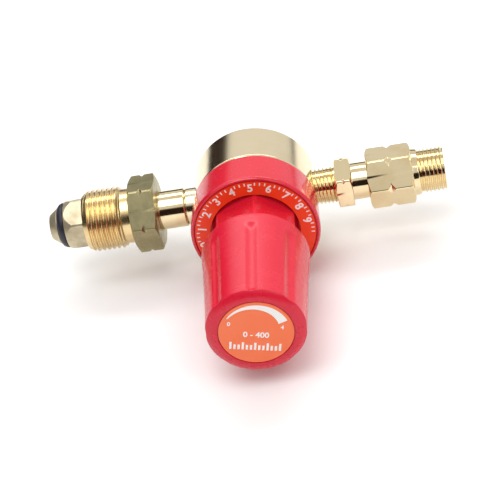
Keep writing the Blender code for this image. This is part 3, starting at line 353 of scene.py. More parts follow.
unionLook = {"hexLength": 9.5, "threadRadius": 12.0, "colour": (0.40, 0.35, 0.19), "dull": (0.29, 0.26, 0.14),
             "sawn": (0.46, 0.41, 0.24), "bright": (0.80, 0.62, 0.33), "brown": (0.58, 0.40, 0.17),
             "sawLines": 2600.0, "turnedLines": 5000.0, "patches": 120.0, "grain": 2600.0,
             "brightRough": 0.24, "hexRough": 0.13, "roughSpread": 0.16, "sawRough": 0.2,
             "lineDepth": 0.35, "grainDepth": 0.12}


def unionNutFinish(look):
    # the thread is bright from wear and the hexagon is dull, with saw lines across its flats
    paint = Paint("union nut brass")
    spot, parts = paint.place()
    reach = portDistance(parts)
    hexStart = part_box("inlet_nut")[1].x - look["hexLength"] * mm
    onHex = paint.band(parts[0], hexStart - 0.4 * mm, hexStart + 0.1 * mm)
    flatsOnly = onHex * paint.band(reach, look["threadRadius"] * mm, (look["threadRadius"] + 0.1) * mm)
    sawn = paint.noise(paint.vector(parts[0], 0.08 * parts[1], 0.08 * parts[2]), look["sawLines"], 3.0, 0.65)
    turnedLines = paint.noise(paint.vector(parts[0], reach, 0.0), look["turnedLines"], 3.0, 0.6)
    patches = paint.noise(spot, look["patches"], 4.0, 0.6)
    grain = paint.noise(spot, look["grain"], 4.0, 0.6)
    dull = paint.between(paint.band(patches, 0.35, 0.7), look["colour"], look["dull"])
    dull = paint.between(paint.band(sawn, 0.4, 0.7) * 0.3, dull, look["sawn"])
    bright = paint.between(paint.band(patches, 0.4, 0.75) * 0.5, look["bright"], look["brown"])
    colour = paint.between(onHex, bright, dull)
    rough = look["brightRough"] + onHex * look["hexRough"] + (patches - 0.5) * look["roughSpread"]
    rough = rough + (sawn - 0.5) * onHex * look["sawRough"]
    normal = paint.bump(sawn * flatsOnly + turnedLines * (1 - flatsOnly), look["lineDepth"], 0.03 * mm)
    normal = paint.bump(grain, look["grainDepth"], 0.02 * mm, normal)
    return paint.finish(colour=colour, rough=rough, metal=1.0, normal=normal)


# the pale pink edge colour is a painted highlight along the collar's rear edge
enamelLook = {"colour": (0.68, 0.012, 0.034), "deep": (0.58, 0.008, 0.020), "edge": (0.93, 0.36, 0.34),
              "flow": 700.0, "peel": 2400.0, "patches": 80.0, "rough": 0.26, "flowRough": 0.1,
              "highlightRough": 0.15, "flowDepth": 0.03, "peelDepth": 0.012, "coat": 0.45, "coatRough": 0.06,
              "specular": 0.35, "highlightStart": 0.25, "highlightEnd": 0.75}


def enamelFinish(look):
    paint = Paint("red enamel")
    spot, parts = paint.place()
    rear = -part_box("bonnet")[1].y
    depth = -1 * parts[1]
    flow = paint.noise(spot, look["flow"], 2.0, 0.5)
    peel = paint.noise(spot, look["peel"], 2.0, 0.5)
    patches = paint.noise(spot, look["patches"], 3.0, 0.5)
    # painted highlight: a pale pink line with a ragged border along the collar's rear edge stands in for light
    # catching the rounded edge
    ragged = depth + (flow - 0.5) * 0.5 * mm
    paintedRimHighlight = 1 - paint.band(ragged, rear + look["highlightStart"] * mm, rear + look["highlightEnd"] * mm)
    colour = paint.between(paint.band(patches, 0.4, 0.7) * 0.35, look["colour"], look["deep"])
    colour = paint.between(paintedRimHighlight * 0.85, colour, look["edge"])
    rough = look["rough"] + (flow - 0.5) * look["flowRough"] + paintedRimHighlight * look["highlightRough"]
    normal = paint.bump(peel, look["peelDepth"], 0.02 * mm)
    normal = paint.bump(flow, look["flowDepth"], 0.05 * mm, normal)
    return paint.finish(colour=colour, rough=rough, metal=0.0, coat=look["coat"], coatRough=look["coatRough"],
                        specular=look["specular"], normal=normal)


plasticLook = {"colour": (0.68, 0.010, 0.036), "pale": (0.72, 0.022, 0.056), "scuffed": (0.92, 0.22, 0.24),
               "mould": 2800.0, "handled": 110.0, "scuffs": 1500.0, "rough": 0.27, "handledRough": 0.10,
               "scuffRough": 0.12, "mouldDepth": 0.08, "scuffDepth": 0.06, "specular": 0.4, "coat": 0.05,
               "coatRough": 0.3, "inside": 0.05, "insideScale": 0.002, "insideRadius": (1.0, 0.25, 0.2)}


def knobPlasticFinish(look):
    paint = Paint("red knob plastic")
    spot, parts = paint.place()
    mould = paint.noise(spot, look["mould"], 3.0, 0.6)
    handled = paint.noise(spot, look["handled"], 4.0, 0.6)
    scuffs = paint.noise(paint.vector(parts[0], 0.12 * parts[1], parts[2]), look["scuffs"], 3.0, 0.6)
    colour = paint.between(paint.band(handled, 0.45, 0.75) * 0.4, look["colour"], look["pale"])
    colour = paint.between(paint.band(scuffs, 0.68, 0.8) * 0.25, colour, look["scuffed"])
    rough = look["rough"] + (handled - 0.5) * look["handledRough"]
    rough = rough + paint.band(scuffs, 0.66, 0.8) * look["scuffRough"]
    normal = paint.bump(mould, look["mouldDepth"], 0.02 * mm)
    normal = paint.bump(scuffs, look["scuffDepth"], 0.02 * mm, normal)
    return paint.finish(colour=colour, rough=rough, metal=0.0, specular=look["specular"], coat=look["coat"],
                        coatRough=look["coatRough"], inside=look["inside"], insideScale=look["insideScale"],
                        insideRadius=look["insideRadius"], normal=normal)


def vinylFinish(name, colour, pale):
    paint = Paint(name)
    spot = paint.place()[0]
    weave = paint.noise(spot, 1900.0, 2.0, 0.5)
    patches = paint.noise(spot, 160.0, 3.0, 0.5)
    shade = paint.between(paint.band(patches, 0.4, 0.75) * 0.35, colour, pale)
    rough = 0.42 + (patches - 0.5) * 0.12
    normal = paint.bump(weave, 0.08, 0.02 * mm)
    return paint.finish(colour=shade, rough=rough, metal=0.0, coat=0.1, coatRough=0.3, specular=0.35,
                        normal=normal)


def inkFinish(clean, worn):
    paint = Paint("white print")
    speckle = paint.noise(paint.place()[0], 2500.0, 3.0, 0.6)
    shade = paint.between(paint.band(speckle, 0.6, 0.8) * 0.5, clean, worn)
    return paint.finish(colour=shade, rough=0.5 + (speckle - 0.5) * 0.1, metal=0.0)


def rubberFinish(name, colour, dusty, rough):
    paint = Paint(name)
    spot = paint.place()[0]
    skin = paint.noise(spot, 1600.0, 3.0, 0.6)
    dust = paint.noise(spot, 300.0, 4.0, 0.65)
    shade = paint.between(paint.band(dust, 0.5, 0.8) * 0.3, colour, dusty)
    normal = paint.bump(skin, 0.15, 0.03 * mm)
    return paint.finish(colour=shade, rough=rough + (dust - 0.5) * 0.2, metal=0.0, normal=normal)


def metalFinish(name, colour, dull, rough, lines):
    paint = Paint(name)
    spot, parts = paint.place()
    turnedLines = paint.noise(paint.vector(parts[1], knobDistance(parts), 0.0), lines, 3.0, 0.6)
    patches = paint.noise(spot, 350.0, 4.0, 0.6)
    shade = paint.between(paint.band(patches, 0.4, 0.75) * 0.6, colour, dull)
    normal = paint.bump(turnedLines, 0.25, 0.02 * mm)
    return paint.finish(colour=shade, rough=rough + (patches - 0.5) * 0.15, metal=1.0, normal=normal)


def sinteredFinish(colour, dark):
    paint = Paint("sintered bronze")
    spot = paint.place()[0]
    cells = paint.add("TexVoronoi", {}, {"Vector": spot, "Scale": 4200.0}, out="Distance")
    patches = paint.noise(spot, 900.0, 3.0, 0.6)
    shade = paint.between(paint.band(patches, 0.4, 0.7), colour, dark)
    normal = paint.bump(cells, 0.8, 0.08 * mm)
    return paint.finish(colour=shade, rough=0.62 + (patches - 0.5) * 0.2, metal=1.0, normal=normal)


def fibreFinish(colour, dark):
    paint = Paint("red fibre")
    parts = paint.place()[1]
    strands = paint.noise(paint.vector(0.2 * parts[0], parts[1], parts[2]), 1800.0, 4.0, 0.7)
    shade = paint.between(paint.band(strands, 0.3, 0.7), colour, dark)
    normal = paint.bump(strands, 0.3, 0.03 * mm)
    return paint.finish(colour=shade, rough=0.75 + (strands - 0.5) * 0.1, metal=0.0, normal=normal)


polishedBrass = brassFinish("polished brass", polishedLook)
nippleBrass = nippleFinish(nippleLook, polishedLook)
satinBrass = brassFinish("satin turned brass", satinLook, onKnob=True)
innerBrass = brassFinish("inner brass", polishedLook, onKnob=True)
unionBrass = unionNutFinish(unionLook)
redEnamel = enamelFinish(enamelLook)
redPlastic = knobPlasticFinish(plasticLook)
ringVinyl = vinylFinish("orange ring label", (0.96, 0.055, 0.010), (0.98, 0.09, 0.03))
knobVinyl = vinylFinish("orange knob label", (0.97, 0.19, 0.065), (0.98, 0.24, 0.11))
whiteInk = inkFinish((0.93, 0.92, 0.90), (0.90, 0.72, 0.66))
noseRubber = rubberFinish("black nose rubber", (0.010, 0.009, 0.022), (0.06, 0.06, 0.065), 0.42)
innerRubber = rubberFinish("black rubber", (0.014, 0.014, 0.016), (0.06, 0.06, 0.065), 0.5)
platedSteel = metalFinish("plated steel", (0.66, 0.67, 0.66), (0.48, 0.47, 0.42), 0.28, 4000.0)
zincPlate = metalFinish("zinc casting", (0.58, 0.59, 0.61), (0.44, 0.45, 0.46), 0.42, 2500.0)
copperWasher = metalFinish("soft copper", (0.76, 0.36, 0.22), (0.50, 0.22, 0.13), 0.32, 3000.0)
sinteredBronze = sinteredFinish((0.42, 0.27, 0.14), (0.26, 0.17, 0.09))
redFibre = fibreFinish((0.36, 0.07, 0.04), (0.20, 0.04, 0.03))
print("finishes made")


def dress(piece, material, slotName, body, *nodes):
    piece.data.materials.clear()
    piece.data.materials.append(material)
    if body:
        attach(piece, body)
    if nodes:
        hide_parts(*nodes)
    return piece


nipple = {"bore": 1.9, "noseTip": 4.8, "noseLand": 6.6, "landLength": 3.1, "groove": 5.0, "headStart": 5.8,
          "headNose": 8.3, "headNoseLength": 3.0, "head": 9.55, "headFlats": 16.9, "headEnd": 12.85,
          "tail": 6.92, "tailStart": 15.48, "reach": 49.8, "threadRadius": 5.9, "filterSeat": 3.7,
          "filterStart": 51.2, "corner": 30.0}


def makeNipple(s):
    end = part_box("inlet_nipple")[1].x
    tail = (s.reach - edgeBreak) * mm

    def column(angle):
        flat = hexRadius(s.headFlats * mm, s.corner, angle, 0.0)
        noseRow = min(s.headNose * mm, flat)
        full = min(s.head * mm, flat)
        slope = (s.head - s.headNose) / s.headNoseLength
        meet = s.headStart * mm + (full - s.headNose * mm) / slope
        backDrop = s.headEnd * mm + (s.head * mm - full)
        threadEnd = end - edgeBreak * mm
        return rounded([
            (0, s.bore * mm, slight),
            (0, (s.noseTip - 0.3) * mm, fine),
            (edgeBreak * mm, s.noseTip * mm, 0.25 * mm),
            ((s.landLength - 0.2) * mm, s.noseLand * mm, 0.12 * mm),
            (s.landLength * mm, s.noseLand * mm, crisp),
            (s.landLength * mm, s.groove * mm, crisp),
            (s.headStart * mm, s.groove * mm, crisp),
            (s.headStart * mm, noseRow, slight),
            (max(meet, s.headStart * mm), full, 0.12 * mm),
            (backDrop, full, slight),
            (s.tailStart * mm, s.tail * mm, broad),
            (tail, s.tail * mm, 0.12 * mm),
            (s.reach * mm, (s.tail - edgeBreak) * mm, crisp),
            (s.reach * mm, s.threadRadius * mm, crisp),
            (threadEnd, s.threadRadius * mm, crisp),
            (end, (s.threadRadius - edgeBreak) * mm, crisp),
            (end, s.filterSeat * mm, crisp),
            (s.filterStart * mm, s.filterSeat * mm, crisp),
            (s.filterStart * mm, s.bore * mm, crisp),
        ])

    piece = turned("turned_nipple", hexAngles(s.corner), column, onPorts)
    return dress(piece, nippleBrass, "polished_brass", "root", "inlet_nipple")


noseRing = {"inner": 5.2, "neck": 6.6, "crown": 0.94, "steps": 12, "columns": 120}


def makeNoseRing(s):
    low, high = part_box("nose_ring")
    inner, neck, outer = s.inner * mm, s.neck * mm, high.z

    def column(angle):
        rows = [(low.x, inner)]
        for index in range(s.steps + 1):
            turn = pi / 2 * index / s.steps
            along = low.x + (high.x - low.x) * s.crown * (1 - cos(turn))
            rows.append((along, neck + (outer - neck) * sin(turn)))
        rows += [(high.x - 0.02 * mm, outer - 0.01 * mm), (high.x, outer - 0.14 * mm), (high.x, inner)]
        return rows

    piece = turned("nose_seal", evenAngles(s.columns), column, onPorts, 60)
    return dress(piece, noseRubber, "black_rubber", "root", "nose_ring")


makeNipple(sized(nipple))
makeNoseRing(sized(noseRing))
print("inlet nipple made")


# left-hand thread, shoulder and notched hexagon
nut = {"seat": 9.65, "crest": 11.15, "root": 10.35, "pitch": 1.814, "threadLength": 12.4,
       "shoulder": 9.85, "hexStart": 30.35, "flats": 24.25, "chamfer": 0.9, "backChamfer": 0.8,
       "bore": 7.07, "corner": 8.0, "notchDepth": 0.85, "notchWidth": 2.1,
       "lead": (-0.45 * mm, 0.55), "runOut": (-0.15 * mm, 1.0)}


def makeNut(s):
    low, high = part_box("inlet_nut")
    threadEnd = low.x + s.threadLength * mm + (s.crest - s.shoulder) * mm
    hexStart = s.hexStart * mm
    middle = (hexStart + high.x) / 2

    def column(angle):
        thread = threadRows(low.x + 0.02 * mm, threadEnd, s.crest * mm, s.root * mm, s.pitch * mm, 1,
                            s.lead, s.runOut, angle)
        return rounded([
            (low.x, s.seat * mm, crisp),
            *thread,
            (threadEnd + 0.35 * mm, s.shoulder * mm, fine),
            (hexStart - 0.01 * mm, s.shoulder * mm, 0.25 * mm),
            *hexSide(hexStart, high.x, s.flats * mm, s.corner, angle,
                     (s.chamfer * mm, s.backChamfer * mm),
                     (middle, s.notchDepth * mm, s.notchWidth * mm)),
            (high.x, (s.bore + edgeBreak) * mm, fine),
            (high.x - edgeBreak * mm, s.bore * mm, fine),
            (low.x + (s.seat - s.bore) * mm, s.bore * mm, fine),
        ])

    piece = turned("union_nut", hexAngles(s.corner), column, onPorts)
    return dress(piece, unionBrass, "sawn_brass", "inlet_nut", "inlet_nut")


makeNut(sized(nut))
print("inlet nut made")


# drum with a boss on the inlet's side
drum = {"radius": 21.7, "edge": 0.7, "lip": 0.35, "front": 6.9, "clamp": 19.9,
        "chamber": 16.0, "floor": 8.0, "nozzleBore": 4.0, "nozzleSeat": 2.5, "valveBore": 3.4,
        "valveDepth": 9.0, "boss": 6.6, "bossBore": 6.1, "bossInside": 5.0, "columns": 240, "bossColumns": 96}


def makeBody(s):
    low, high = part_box("body")

    def column(angle):
        return rounded([
            (-high.y, 0, 0),
            (-high.y, (s.radius - s.edge) * mm, soft),
            (-high.y + s.edge * mm, s.radius * mm, wide),
            ((s.front - 2 * s.lip) * mm, s.radius * mm, fine),
            (s.front * mm, (s.radius - s.lip) * mm, crisp),
            (s.front * mm, s.clamp * mm, crisp),
            (-low.y - edgeBreak * mm, s.clamp * mm, fine),
            (-low.y, (s.clamp - edgeBreak) * mm, fine),
            (-low.y, s.chamber * mm, fine),
            (s.floor * mm, s.chamber * mm, soft),
            (s.floor * mm, s.nozzleBore * mm, crisp),
            (s.nozzleSeat * mm, s.nozzleBore * mm, crisp),
            (s.nozzleSeat * mm, s.valveBore * mm, crisp),
            (-s.valveDepth * mm, s.valveBore * mm, crisp),
            (-s.valveDepth * mm, 0, 0),
        ])

    form = bmesh.new()
    addGrid(form, evenAngles(s.columns), column, onKnobLine)
    start = low.x
    inside = knobX - (s.radius - s.bossInside) * mm

    def bossColumn(angle):
        return rounded([
            (start, s.bossBore * mm, crisp),
            (start, (s.boss - 0.25) * mm, fine),
            (start + 0.35 * mm, s.boss * mm, soft),
            (inside, s.boss * mm, 0),
            (inside, s.bossBore * mm, 0),
        ])

    addGrid(form, evenAngles(s.bossColumns), bossColumn, onPorts)
    piece = asObject("valve_body", form)
    return dress(piece, satinBrass, "satin_brass", "root", "body")


makeBody(sized(drum))
print("body made")


# collar, moat and six-sided spring housing
bonnet = {"thread": 20.1, "rear": 7.1, "collar": 22.2, "collarFront": 22.6, "front": 22.5, "rim": 21.2,
          "rearChamfer": 0.7, "labelSeat": 21.8, "moat": 15.63, "moatFloor": 20.3, "fillet": 3.4,
          "foot": 1.7, "filletSteps": 8, "hexEnd": 38.0, "flats": 26.9, "chamfer": 1.3, "neck": 12.9,
          "ceiling": 47.5, "boss": 9.5, "bore": 5.05, "cavity": 10.9, "castWall": 2.5, "chamber": 15.8,
          "shoulder": 15.1, "corner": 21.2}


def makeBonnet(s):
    top = -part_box("bonnet")[0].y
    filletTurns = [pi / 2 * step / s.filletSteps for step in range(s.filletSteps + 1)]

    def column(angle):
        flat = hexRadius(s.flats * mm, s.corner, angle, 0.25 * mm)
        point = s.flats * mm / sqrt(3)
        slope = (point - s.flats * mm / 2) / (s.chamfer * mm)
        drop = (flat - s.flats * mm / 2) / slope
        foot = min(s.foot * mm, s.moat * mm - 0.08 * mm - flat)
        return rounded([
            (s.rear * mm, s.thread * mm, fine),
            (s.rear * mm, (s.collar - s.rearChamfer) * mm, soft),
            ((s.rear + s.rearChamfer) * mm, s.collar * mm, wide),
            ((s.front - 0.8) * mm, s.collarFront * mm, broad),
            (s.front * mm, (s.collarFront - 0.55) * mm, wide),
            (s.front * mm, (s.rim + 0.2) * mm, slight),
            ((s.front - 0.2) * mm, s.rim * mm, fine),
            (s.labelSeat * mm, s.rim * mm, crisp),
            (s.labelSeat * mm, s.moat * mm, fine),
            (s.moatFloor * mm, s.moat * mm, fine),
            *[(s.moatFloor * mm + s.fillet * mm * (1 - cos(turn)), flat + foot * (1 - sin(turn)), 0)
              for turn in filletTurns],
            (s.hexEnd * mm - drop, flat, 0.25 * mm),
            (s.hexEnd * mm, s.flats * mm / 2, soft),
            (s.hexEnd * mm, s.neck * mm, soft),
            (s.ceiling * mm, s.neck * mm, broad),
            ((s.ceiling + 2.0) * mm, s.boss * mm, wide),
            (top - edgeBreak * mm, s.boss * mm, fine),
            (top, (s.boss - edgeBreak) * mm, fine),
            (top, s.bore * mm, fine),
            (s.ceiling * mm, s.bore * mm, fine),
            (s.ceiling * mm, s.cavity * mm, soft),
            ((s.moatFloor - s.castWall) * mm, s.cavity * mm, soft),
            ((s.moatFloor - s.castWall) * mm, s.chamber * mm, fine),
            (s.shoulder * mm, s.chamber * mm, fine),
            (s.shoulder * mm, s.thread * mm, fine),
        ])

    piece = turned("spring_bonnet", hexAngles(s.corner), column, onKnobLine)
    return dress(piece, redEnamel, "red_enamel", "root", "bonnet")


makeBonnet(sized(bonnet))
print("bonnet made")


# printed marks are flat shapes laid on a label's face
inkThickness = 0.02 * mm


def layText(form, words, height, spin, middle, upright, face):
    # digits stand on the face, either round the ring or along a straight line
    digitShare, stroke = 0.72, 0.035  # a digit's share of the font size, and how far its outline is thickened
    curve = bpy.data.curves.new("digits", "FONT")
    curve.body = words
    curve.size = height / digitShare
    curve.align_x = "CENTER"
    curve.align_y = "CENTER"
    curve.offset = height * stroke
    holder = bpy.data.objects.new("digits", curve)
    bpy.context.scene.collection.objects.link(holder)
    bpy.context.view_layer.update()
    shape = bpy.data.meshes.new_from_object(holder.evaluated_get(bpy.context.evaluated_depsgraph_get()))
    bpy.data.objects.remove(holder)
    for vertex in shape.vertices:
        x, y = vertex.co.x, vertex.co.y
        turn = spin - upright
        u = middle[0] + x * cos(turn) - y * sin(turn)
        v = middle[1] + x * sin(turn) + y * cos(turn)
        vertex.co = (knobX + u, -face, v)
    form.from_mesh(shape)
    bpy.data.meshes.remove(shape)


def layPatch(form, corners, face):
    spots = [form.verts.new((knobX + u, -face, v)) for u, v in corners]
    form.faces.new(spots)


def layStrip(form, start, end, inner, outer, face, count):
    # a curved strip whose radii may change along it
    edges = []
    for index in range(count + 1):
        share = index / count
        angle = start + (end - start) * share
        pair = [form.verts.new((knobX + reach(share) * cos(angle), -face, reach(share) * sin(angle)))
                for reach in (inner, outer)]
        edges.append(pair)
    for here, there in zip(edges, edges[1:]):
        form.faces.new((here[0], here[1], there[1], there[0]))


def printPiece(name, form, thick, body):
    # thin ink with its top on the face towards the knob's front
    for face in form.faces:
        if face.normal.y > 0:
            face.normal_flip()
    bmesh.ops.recalc_face_normals(form, faces=form.faces)
    top = list(form.faces)
    extruded = bmesh.ops.extrude_face_region(form, geom=top)
    for item in extruded["geom"]:
        if isinstance(item, bmesh.types.BMVert):
            item.co.y -= thick
    bmesh.ops.recalc_face_normals(form, faces=form.faces)
    piece = asObject(name, form)
    piece.modifiers.clear()
    return dress(piece, whiteInk, "orange_label", body)


ringLabel = {"inner": 15.63, "outer": 21.0, "numbers": 10, "firstAngle": 186.0, "step": 20.0,
             "digitHeight": 3.0, "digitAt": 18.35, "tickOuter": 20.5, "tickInner": 19.4, "tickWidth": 0.42,
             "ticks": 3, "columns": 200}


def makeRingLabel(s):
    low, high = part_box("ring_label")
    bottom, top = -high.y, -low.y

    def column(angle):
        return rounded([(bottom, s.inner * mm, 0), (bottom, s.outer * mm, 0),
                        (top, s.outer * mm, 0.08 * mm), (top, s.inner * mm, 0.08 * mm)])

    piece = turned("ring_sticker", evenAngles(s.columns), column, onKnobLine)
    dress(piece, ringVinyl, "orange_label", "root", "ring_label")

    form = bmesh.new()
    for number in range(s.numbers):
        angle = radians(s.firstAngle - s.step * number)
        spot = (s.digitAt * mm * cos(angle), s.digitAt * mm * sin(angle))
        layText(form, str(number), s.digitHeight * mm, angle, spot, radians(90), top)
        for tick in range(s.ticks):
            turn = angle - radians(s.step * (tick + 1) / (s.ticks + 1))
            along = Vector((cos(turn), sin(turn)))
            across = Vector((-sin(turn), cos(turn))) * s.tickWidth * mm / 2
            inner = along * s.tickInner * mm
            outer = along * s.tickOuter * mm
            layPatch(form, [inner - across, outer - across, outer + across, inner + across], top)
    printPiece("ring_scale", form, inkThickness, "root")


makeRingLabel(sized(ringLabel))
print("ring label made")


knob = {"rear": 37.0, "front": 78.0, "rearRadius": 18.48, "taper": 2.1, "waist": 1.1, "bevelWidth": 3.6,
        "bevelLength": 1.5, "skirt": 16.23, "wall": 2.25, "flutes": 8, "fluteWidth": 4.6, "fluteDepth": 0.72,
        "fluteStart": 4.6, "fluteRunIn": 3.6, "fluteRunOut": 2.2, "fluteEnd": 0.24, "fluteAngle": 39.8,
        "fluteCurve": 1.6, "bevelCurve": 1.2, "bevelFall": 1.3, "label": 12.48, "labelSeat": 77.5,
        "headRecess": 3.7, "headSeat": 75.1, "screwHole": 2.1, "socketTop": 73.4, "socket": 4.36,
        "bossRadius": 6.5, "bossRear": 64.75, "ceiling": 74.0, "rearRows": (1.2, 2.4, 3.8), "rimSteps": 4,
        "rimSink": 0.03, "skirtEase": 0.15, "skirtEdge": 0.2, "skirtLand": 5.0, "runInRows": 10,
        "runOutRows": 6, "bevelRows": 14, "columnsPerSide": 8}


def knobRadius(s, along):
    share = (s.front - along) / (s.front - s.rear)
    return s.rearRadius - s.taper + (s.taper - s.waist) * share + s.waist * share * share


def fluteCut(s, angle, along):
    pitch = tau / s.flutes
    offset = (angle - radians(s.fluteAngle) + pitch / 2) % pitch - pitch / 2
    across = abs(offset) * knobRadius(s, along) / (s.fluteWidth / 2)
    if across >= 1:
        return 0.0
    runIn = (along - s.rear - s.fluteStart) / s.fluteRunIn
    runOut = s.fluteEnd + (s.front - s.bevelLength - along) / s.fluteRunOut
    share = min(max(runIn, 0), max(runOut, 0), 1)
    return s.fluteDepth * (1 - across * across) ** s.fluteCurve * sin(pi / 2 * share)


def makeKnob(s):
    pitch = tau / s.flutes
    halfFlute = s.fluteWidth / 2 / (s.rearRadius - s.taper)
    steps = s.columnsPerSide
    inFlute = [halfFlute * index / steps for index in range(-steps, steps + 1)]
    onLobe = [halfFlute + (pitch - 2 * halfFlute) * index / steps for index in range(1, steps)]
    angles = []
    for flute in range(s.flutes):
        centre = radians(s.fluteAngle) + pitch * flute
        angles += [centre + offset for offset in inFlute + onLobe]

    bevelStart = s.front - s.bevelLength
    edgeRadius = knobRadius(s, bevelStart)
    faceRadius = s.rearRadius - s.taper - s.bevelWidth
    outside = [s.rear + step for step in s.rearRows]
    outside += [s.rear + s.fluteStart + s.fluteRunIn * index / s.runInRows for index in range(s.runInRows + 1)]
    rest = bevelStart - s.fluteRunOut - outside[-1]
    outside += [outside[-1] + rest * index / steps for index in range(1, steps + 1)]
    outside += [outside[-1] + s.fluteRunOut * index / s.runOutRows for index in range(1, s.runOutRows + 1)]

    def column(angle):
        rows = [(s.rear * mm, (s.skirt + s.skirtEase) * mm)]
        for index in range(s.rimSteps + 1):
            turn = pi / 2 * index / s.rimSteps
            along = s.rear + edgeBreak * (1 - cos(turn))
            rows.append((along * mm, (s.rearRadius - edgeBreak + edgeBreak * sin(turn) - s.rimSink) * mm))
        for along in outside:
            rows.append((along * mm, (knobRadius(s, along) - fluteCut(s, angle, along)) * mm))
        for index in range(1, s.bevelRows + 1):
            share = index / s.bevelRows
            along = bevelStart + s.bevelLength * sin(pi / 2 * share) ** s.bevelCurve
            radius = edgeRadius + (faceRadius - edgeRadius) * share ** s.bevelFall
            radius = min(radius, knobRadius(s, along) - fluteCut(s, angle, along))
            rows.append((along * mm, radius * mm))
        rows += rounded([
            (s.front * mm, faceRadius * mm, 0.02 * mm),
            (s.front * mm, s.label * mm, 0.12 * mm),
            (s.labelSeat * mm, s.label * mm, crisp),
            (s.labelSeat * mm, s.headRecess * mm, crisp),
            (s.headSeat * mm, s.headRecess * mm, crisp),
            (s.headSeat * mm, s.screwHole * mm, crisp),
            (s.socketTop * mm, s.screwHole * mm, crisp),
            (s.socketTop * mm, s.socket * mm, crisp),
            (s.bossRear * mm, s.socket * mm, crisp),
            (s.bossRear * mm, s.bossRadius * mm, fine),
            (s.ceiling * mm, s.bossRadius * mm, soft),
            (s.ceiling * mm, (knobRadius(s, s.ceiling) - s.wall - edgeBreak) * mm, wide),
            ((s.rear + s.skirtLand) * mm, (knobRadius(s, s.rear + s.skirtLand) - s.wall) * mm, wide),
            ((s.rear + s.skirtEdge) * mm, s.skirt * mm, fine),
        ], 2)
        return rows

    piece = turned("fluted_knob", angles, column, onKnobLine, 40)
    return dress(piece, redPlastic, "red_plastic", "knob", "knob")


makeKnob(sized(knob))
print("knob made")


# scale arc, numbers and a row of bars
knobLabel = {"radius": 12.2, "tilt": -13.5, "arcOuter": 11.1, "arcStart": 152.0, "arcEnd": 30.0,
             "thinEnd": 0.35, "thickEnd": 3.1, "columns": 160, "arcSteps": 60, "endHeight": 1.5,
             "rangeHeight": 2.1, "bars": 13, "barsFrom": -8.0, "barsWidth": 16.0, "barsBottom": -7.0,
             "halfBar": 0.36, "tallBar": 2.9, "lowBar": 1.9}


def makeKnobLabel(s):
    low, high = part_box("knob_label")
    bottom, top = -high.y, -low.y - 0.04 * mm
    tilt = radians(s.tilt)

    def column(angle):
        return rounded([(bottom, 0, 0), (bottom, s.radius * mm, 0),
                        (top, s.radius * mm, fine), (top, 0, 0)])

    piece = turned("knob_sticker", evenAngles(s.columns), column, onKnobLine)
    dress(piece, knobVinyl, "orange_label", "knob", "knob_label")

    form = bmesh.new()
    layStrip(form, radians(s.arcStart) + tilt, radians(s.arcEnd) + tilt,
             lambda share: (s.arcOuter - s.thinEnd - (s.thickEnd - s.thinEnd) * share) * mm,
             lambda share: s.arcOuter * mm, top, s.arcSteps)

    def spot(u, v):
        return ((u * cos(tilt) - v * sin(tilt)) * mm, (u * sin(tilt) + v * cos(tilt)) * mm)

    layText(form, "0", s.endHeight * mm, tilt, spot(-9.0, 3.0), 0, top)
    layText(form, "4", s.endHeight * mm, tilt, spot(8.2, 2.6), 0, top)
    layText(form, "0 - 400", s.rangeHeight * mm, tilt, spot(0, -0.9), 0, top)
    for index in range(s.bars):
        middle = s.barsFrom + s.barsWidth * index / (s.bars - 1)
        left, right, bottomEdge = middle - s.halfBar, middle + s.halfBar, s.barsBottom
        topEdge = bottomEdge + (s.lowBar if index % 3 else s.tallBar)
        sides = [(left, bottomEdge), (right, bottomEdge), (right, topEdge), (left, topEdge)]
        layPatch(form, [spot(*corner) for corner in sides], top)
    printPiece("knob_scale", form, inkThickness, "knob")


makeKnobLabel(sized(knobLabel))
print("knob label made")


# taper thread, small notched hexagon and neck
outlet = {"bore": 2.4, "small": 6.0, "large": 6.7, "taperLength": 15.6, "relief": 6.2, "hexStart": 104.0,
          "hexEnd": 109.65, "flats": 17.0, "chamfer": 0.6, "corner": 36.0, "notchDepth": 0.5,
          "notchWidth": 1.5, "neck": 6.56, "spigotStart": 116.65, "spigot": 7.0, "pitch": 1.337,
          "threadDepth": 0.72, "lead": (0.3 * mm, 1.0), "runOut": (0.1 * mm, 1.0)}


def makeOutletNipple(s):
    low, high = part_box("outlet_nipple")
    taperEnd = (s.hexStart - 0.7) * mm
    taper = (s.large - s.small) / s.taperLength
    middle = (s.hexStart + s.hexEnd) / 2 * mm

    def column(angle):
        thread = threadRows(low.x, taperEnd + 0.3 * mm, s.small * mm, (s.small - s.threadDepth) * mm,
                            s.pitch * mm, -1, s.lead, s.runOut, angle, taper)
        return rounded([
            (low.x, s.bore * mm, fine),
            *thread,
            (s.hexStart * mm - 0.01 * mm, s.relief * mm, fine),
            *hexSide(s.hexStart * mm, s.hexEnd * mm, s.flats * mm, s.corner, angle,
                     (s.chamfer * mm, s.chamfer * mm),
                     (middle, s.notchDepth * mm, s.notchWidth * mm)),
            (s.hexEnd * mm + 0.01 * mm, s.neck * mm, 0.25 * mm),
            (s.spigotStart * mm, s.neck * mm, fine),
            ((s.spigotStart + edgeBreak) * mm, s.spigot * mm, fine),
            (high.x - edgeBreak * mm, s.spigot * mm, fine),
            (high.x, (s.spigot - edgeBreak) * mm, fine),
            (high.x, s.bore * mm, fine),
        ])

    piece = turned("taper_nipple", hexAngles(s.corner), column, onPorts)
    return dress(piece, polishedBrass, "polished_brass", "root", "outlet_nipple")


# big notched hexagon, ring and left-hand thread with a cone seat
adaptor = {"socket": 7.2, "hexEnd": 131.3, "flats": 18.75, "chamfer": 0.8, "corner": 6.0, "notchDepth": 0.9,
           "notchWidth": 3.2, "ring": 8.35, "ringEnd": 133.8, "crest": 7.93, "root": 7.25, "pitch": 1.411,
           "mouth": 6.2, "coneDepth": 7.4, "bore": 3.2, "floor": 125.85, "lead": (0.0, 1.0),
           "runOut": (0.15 * mm, 1.0)}


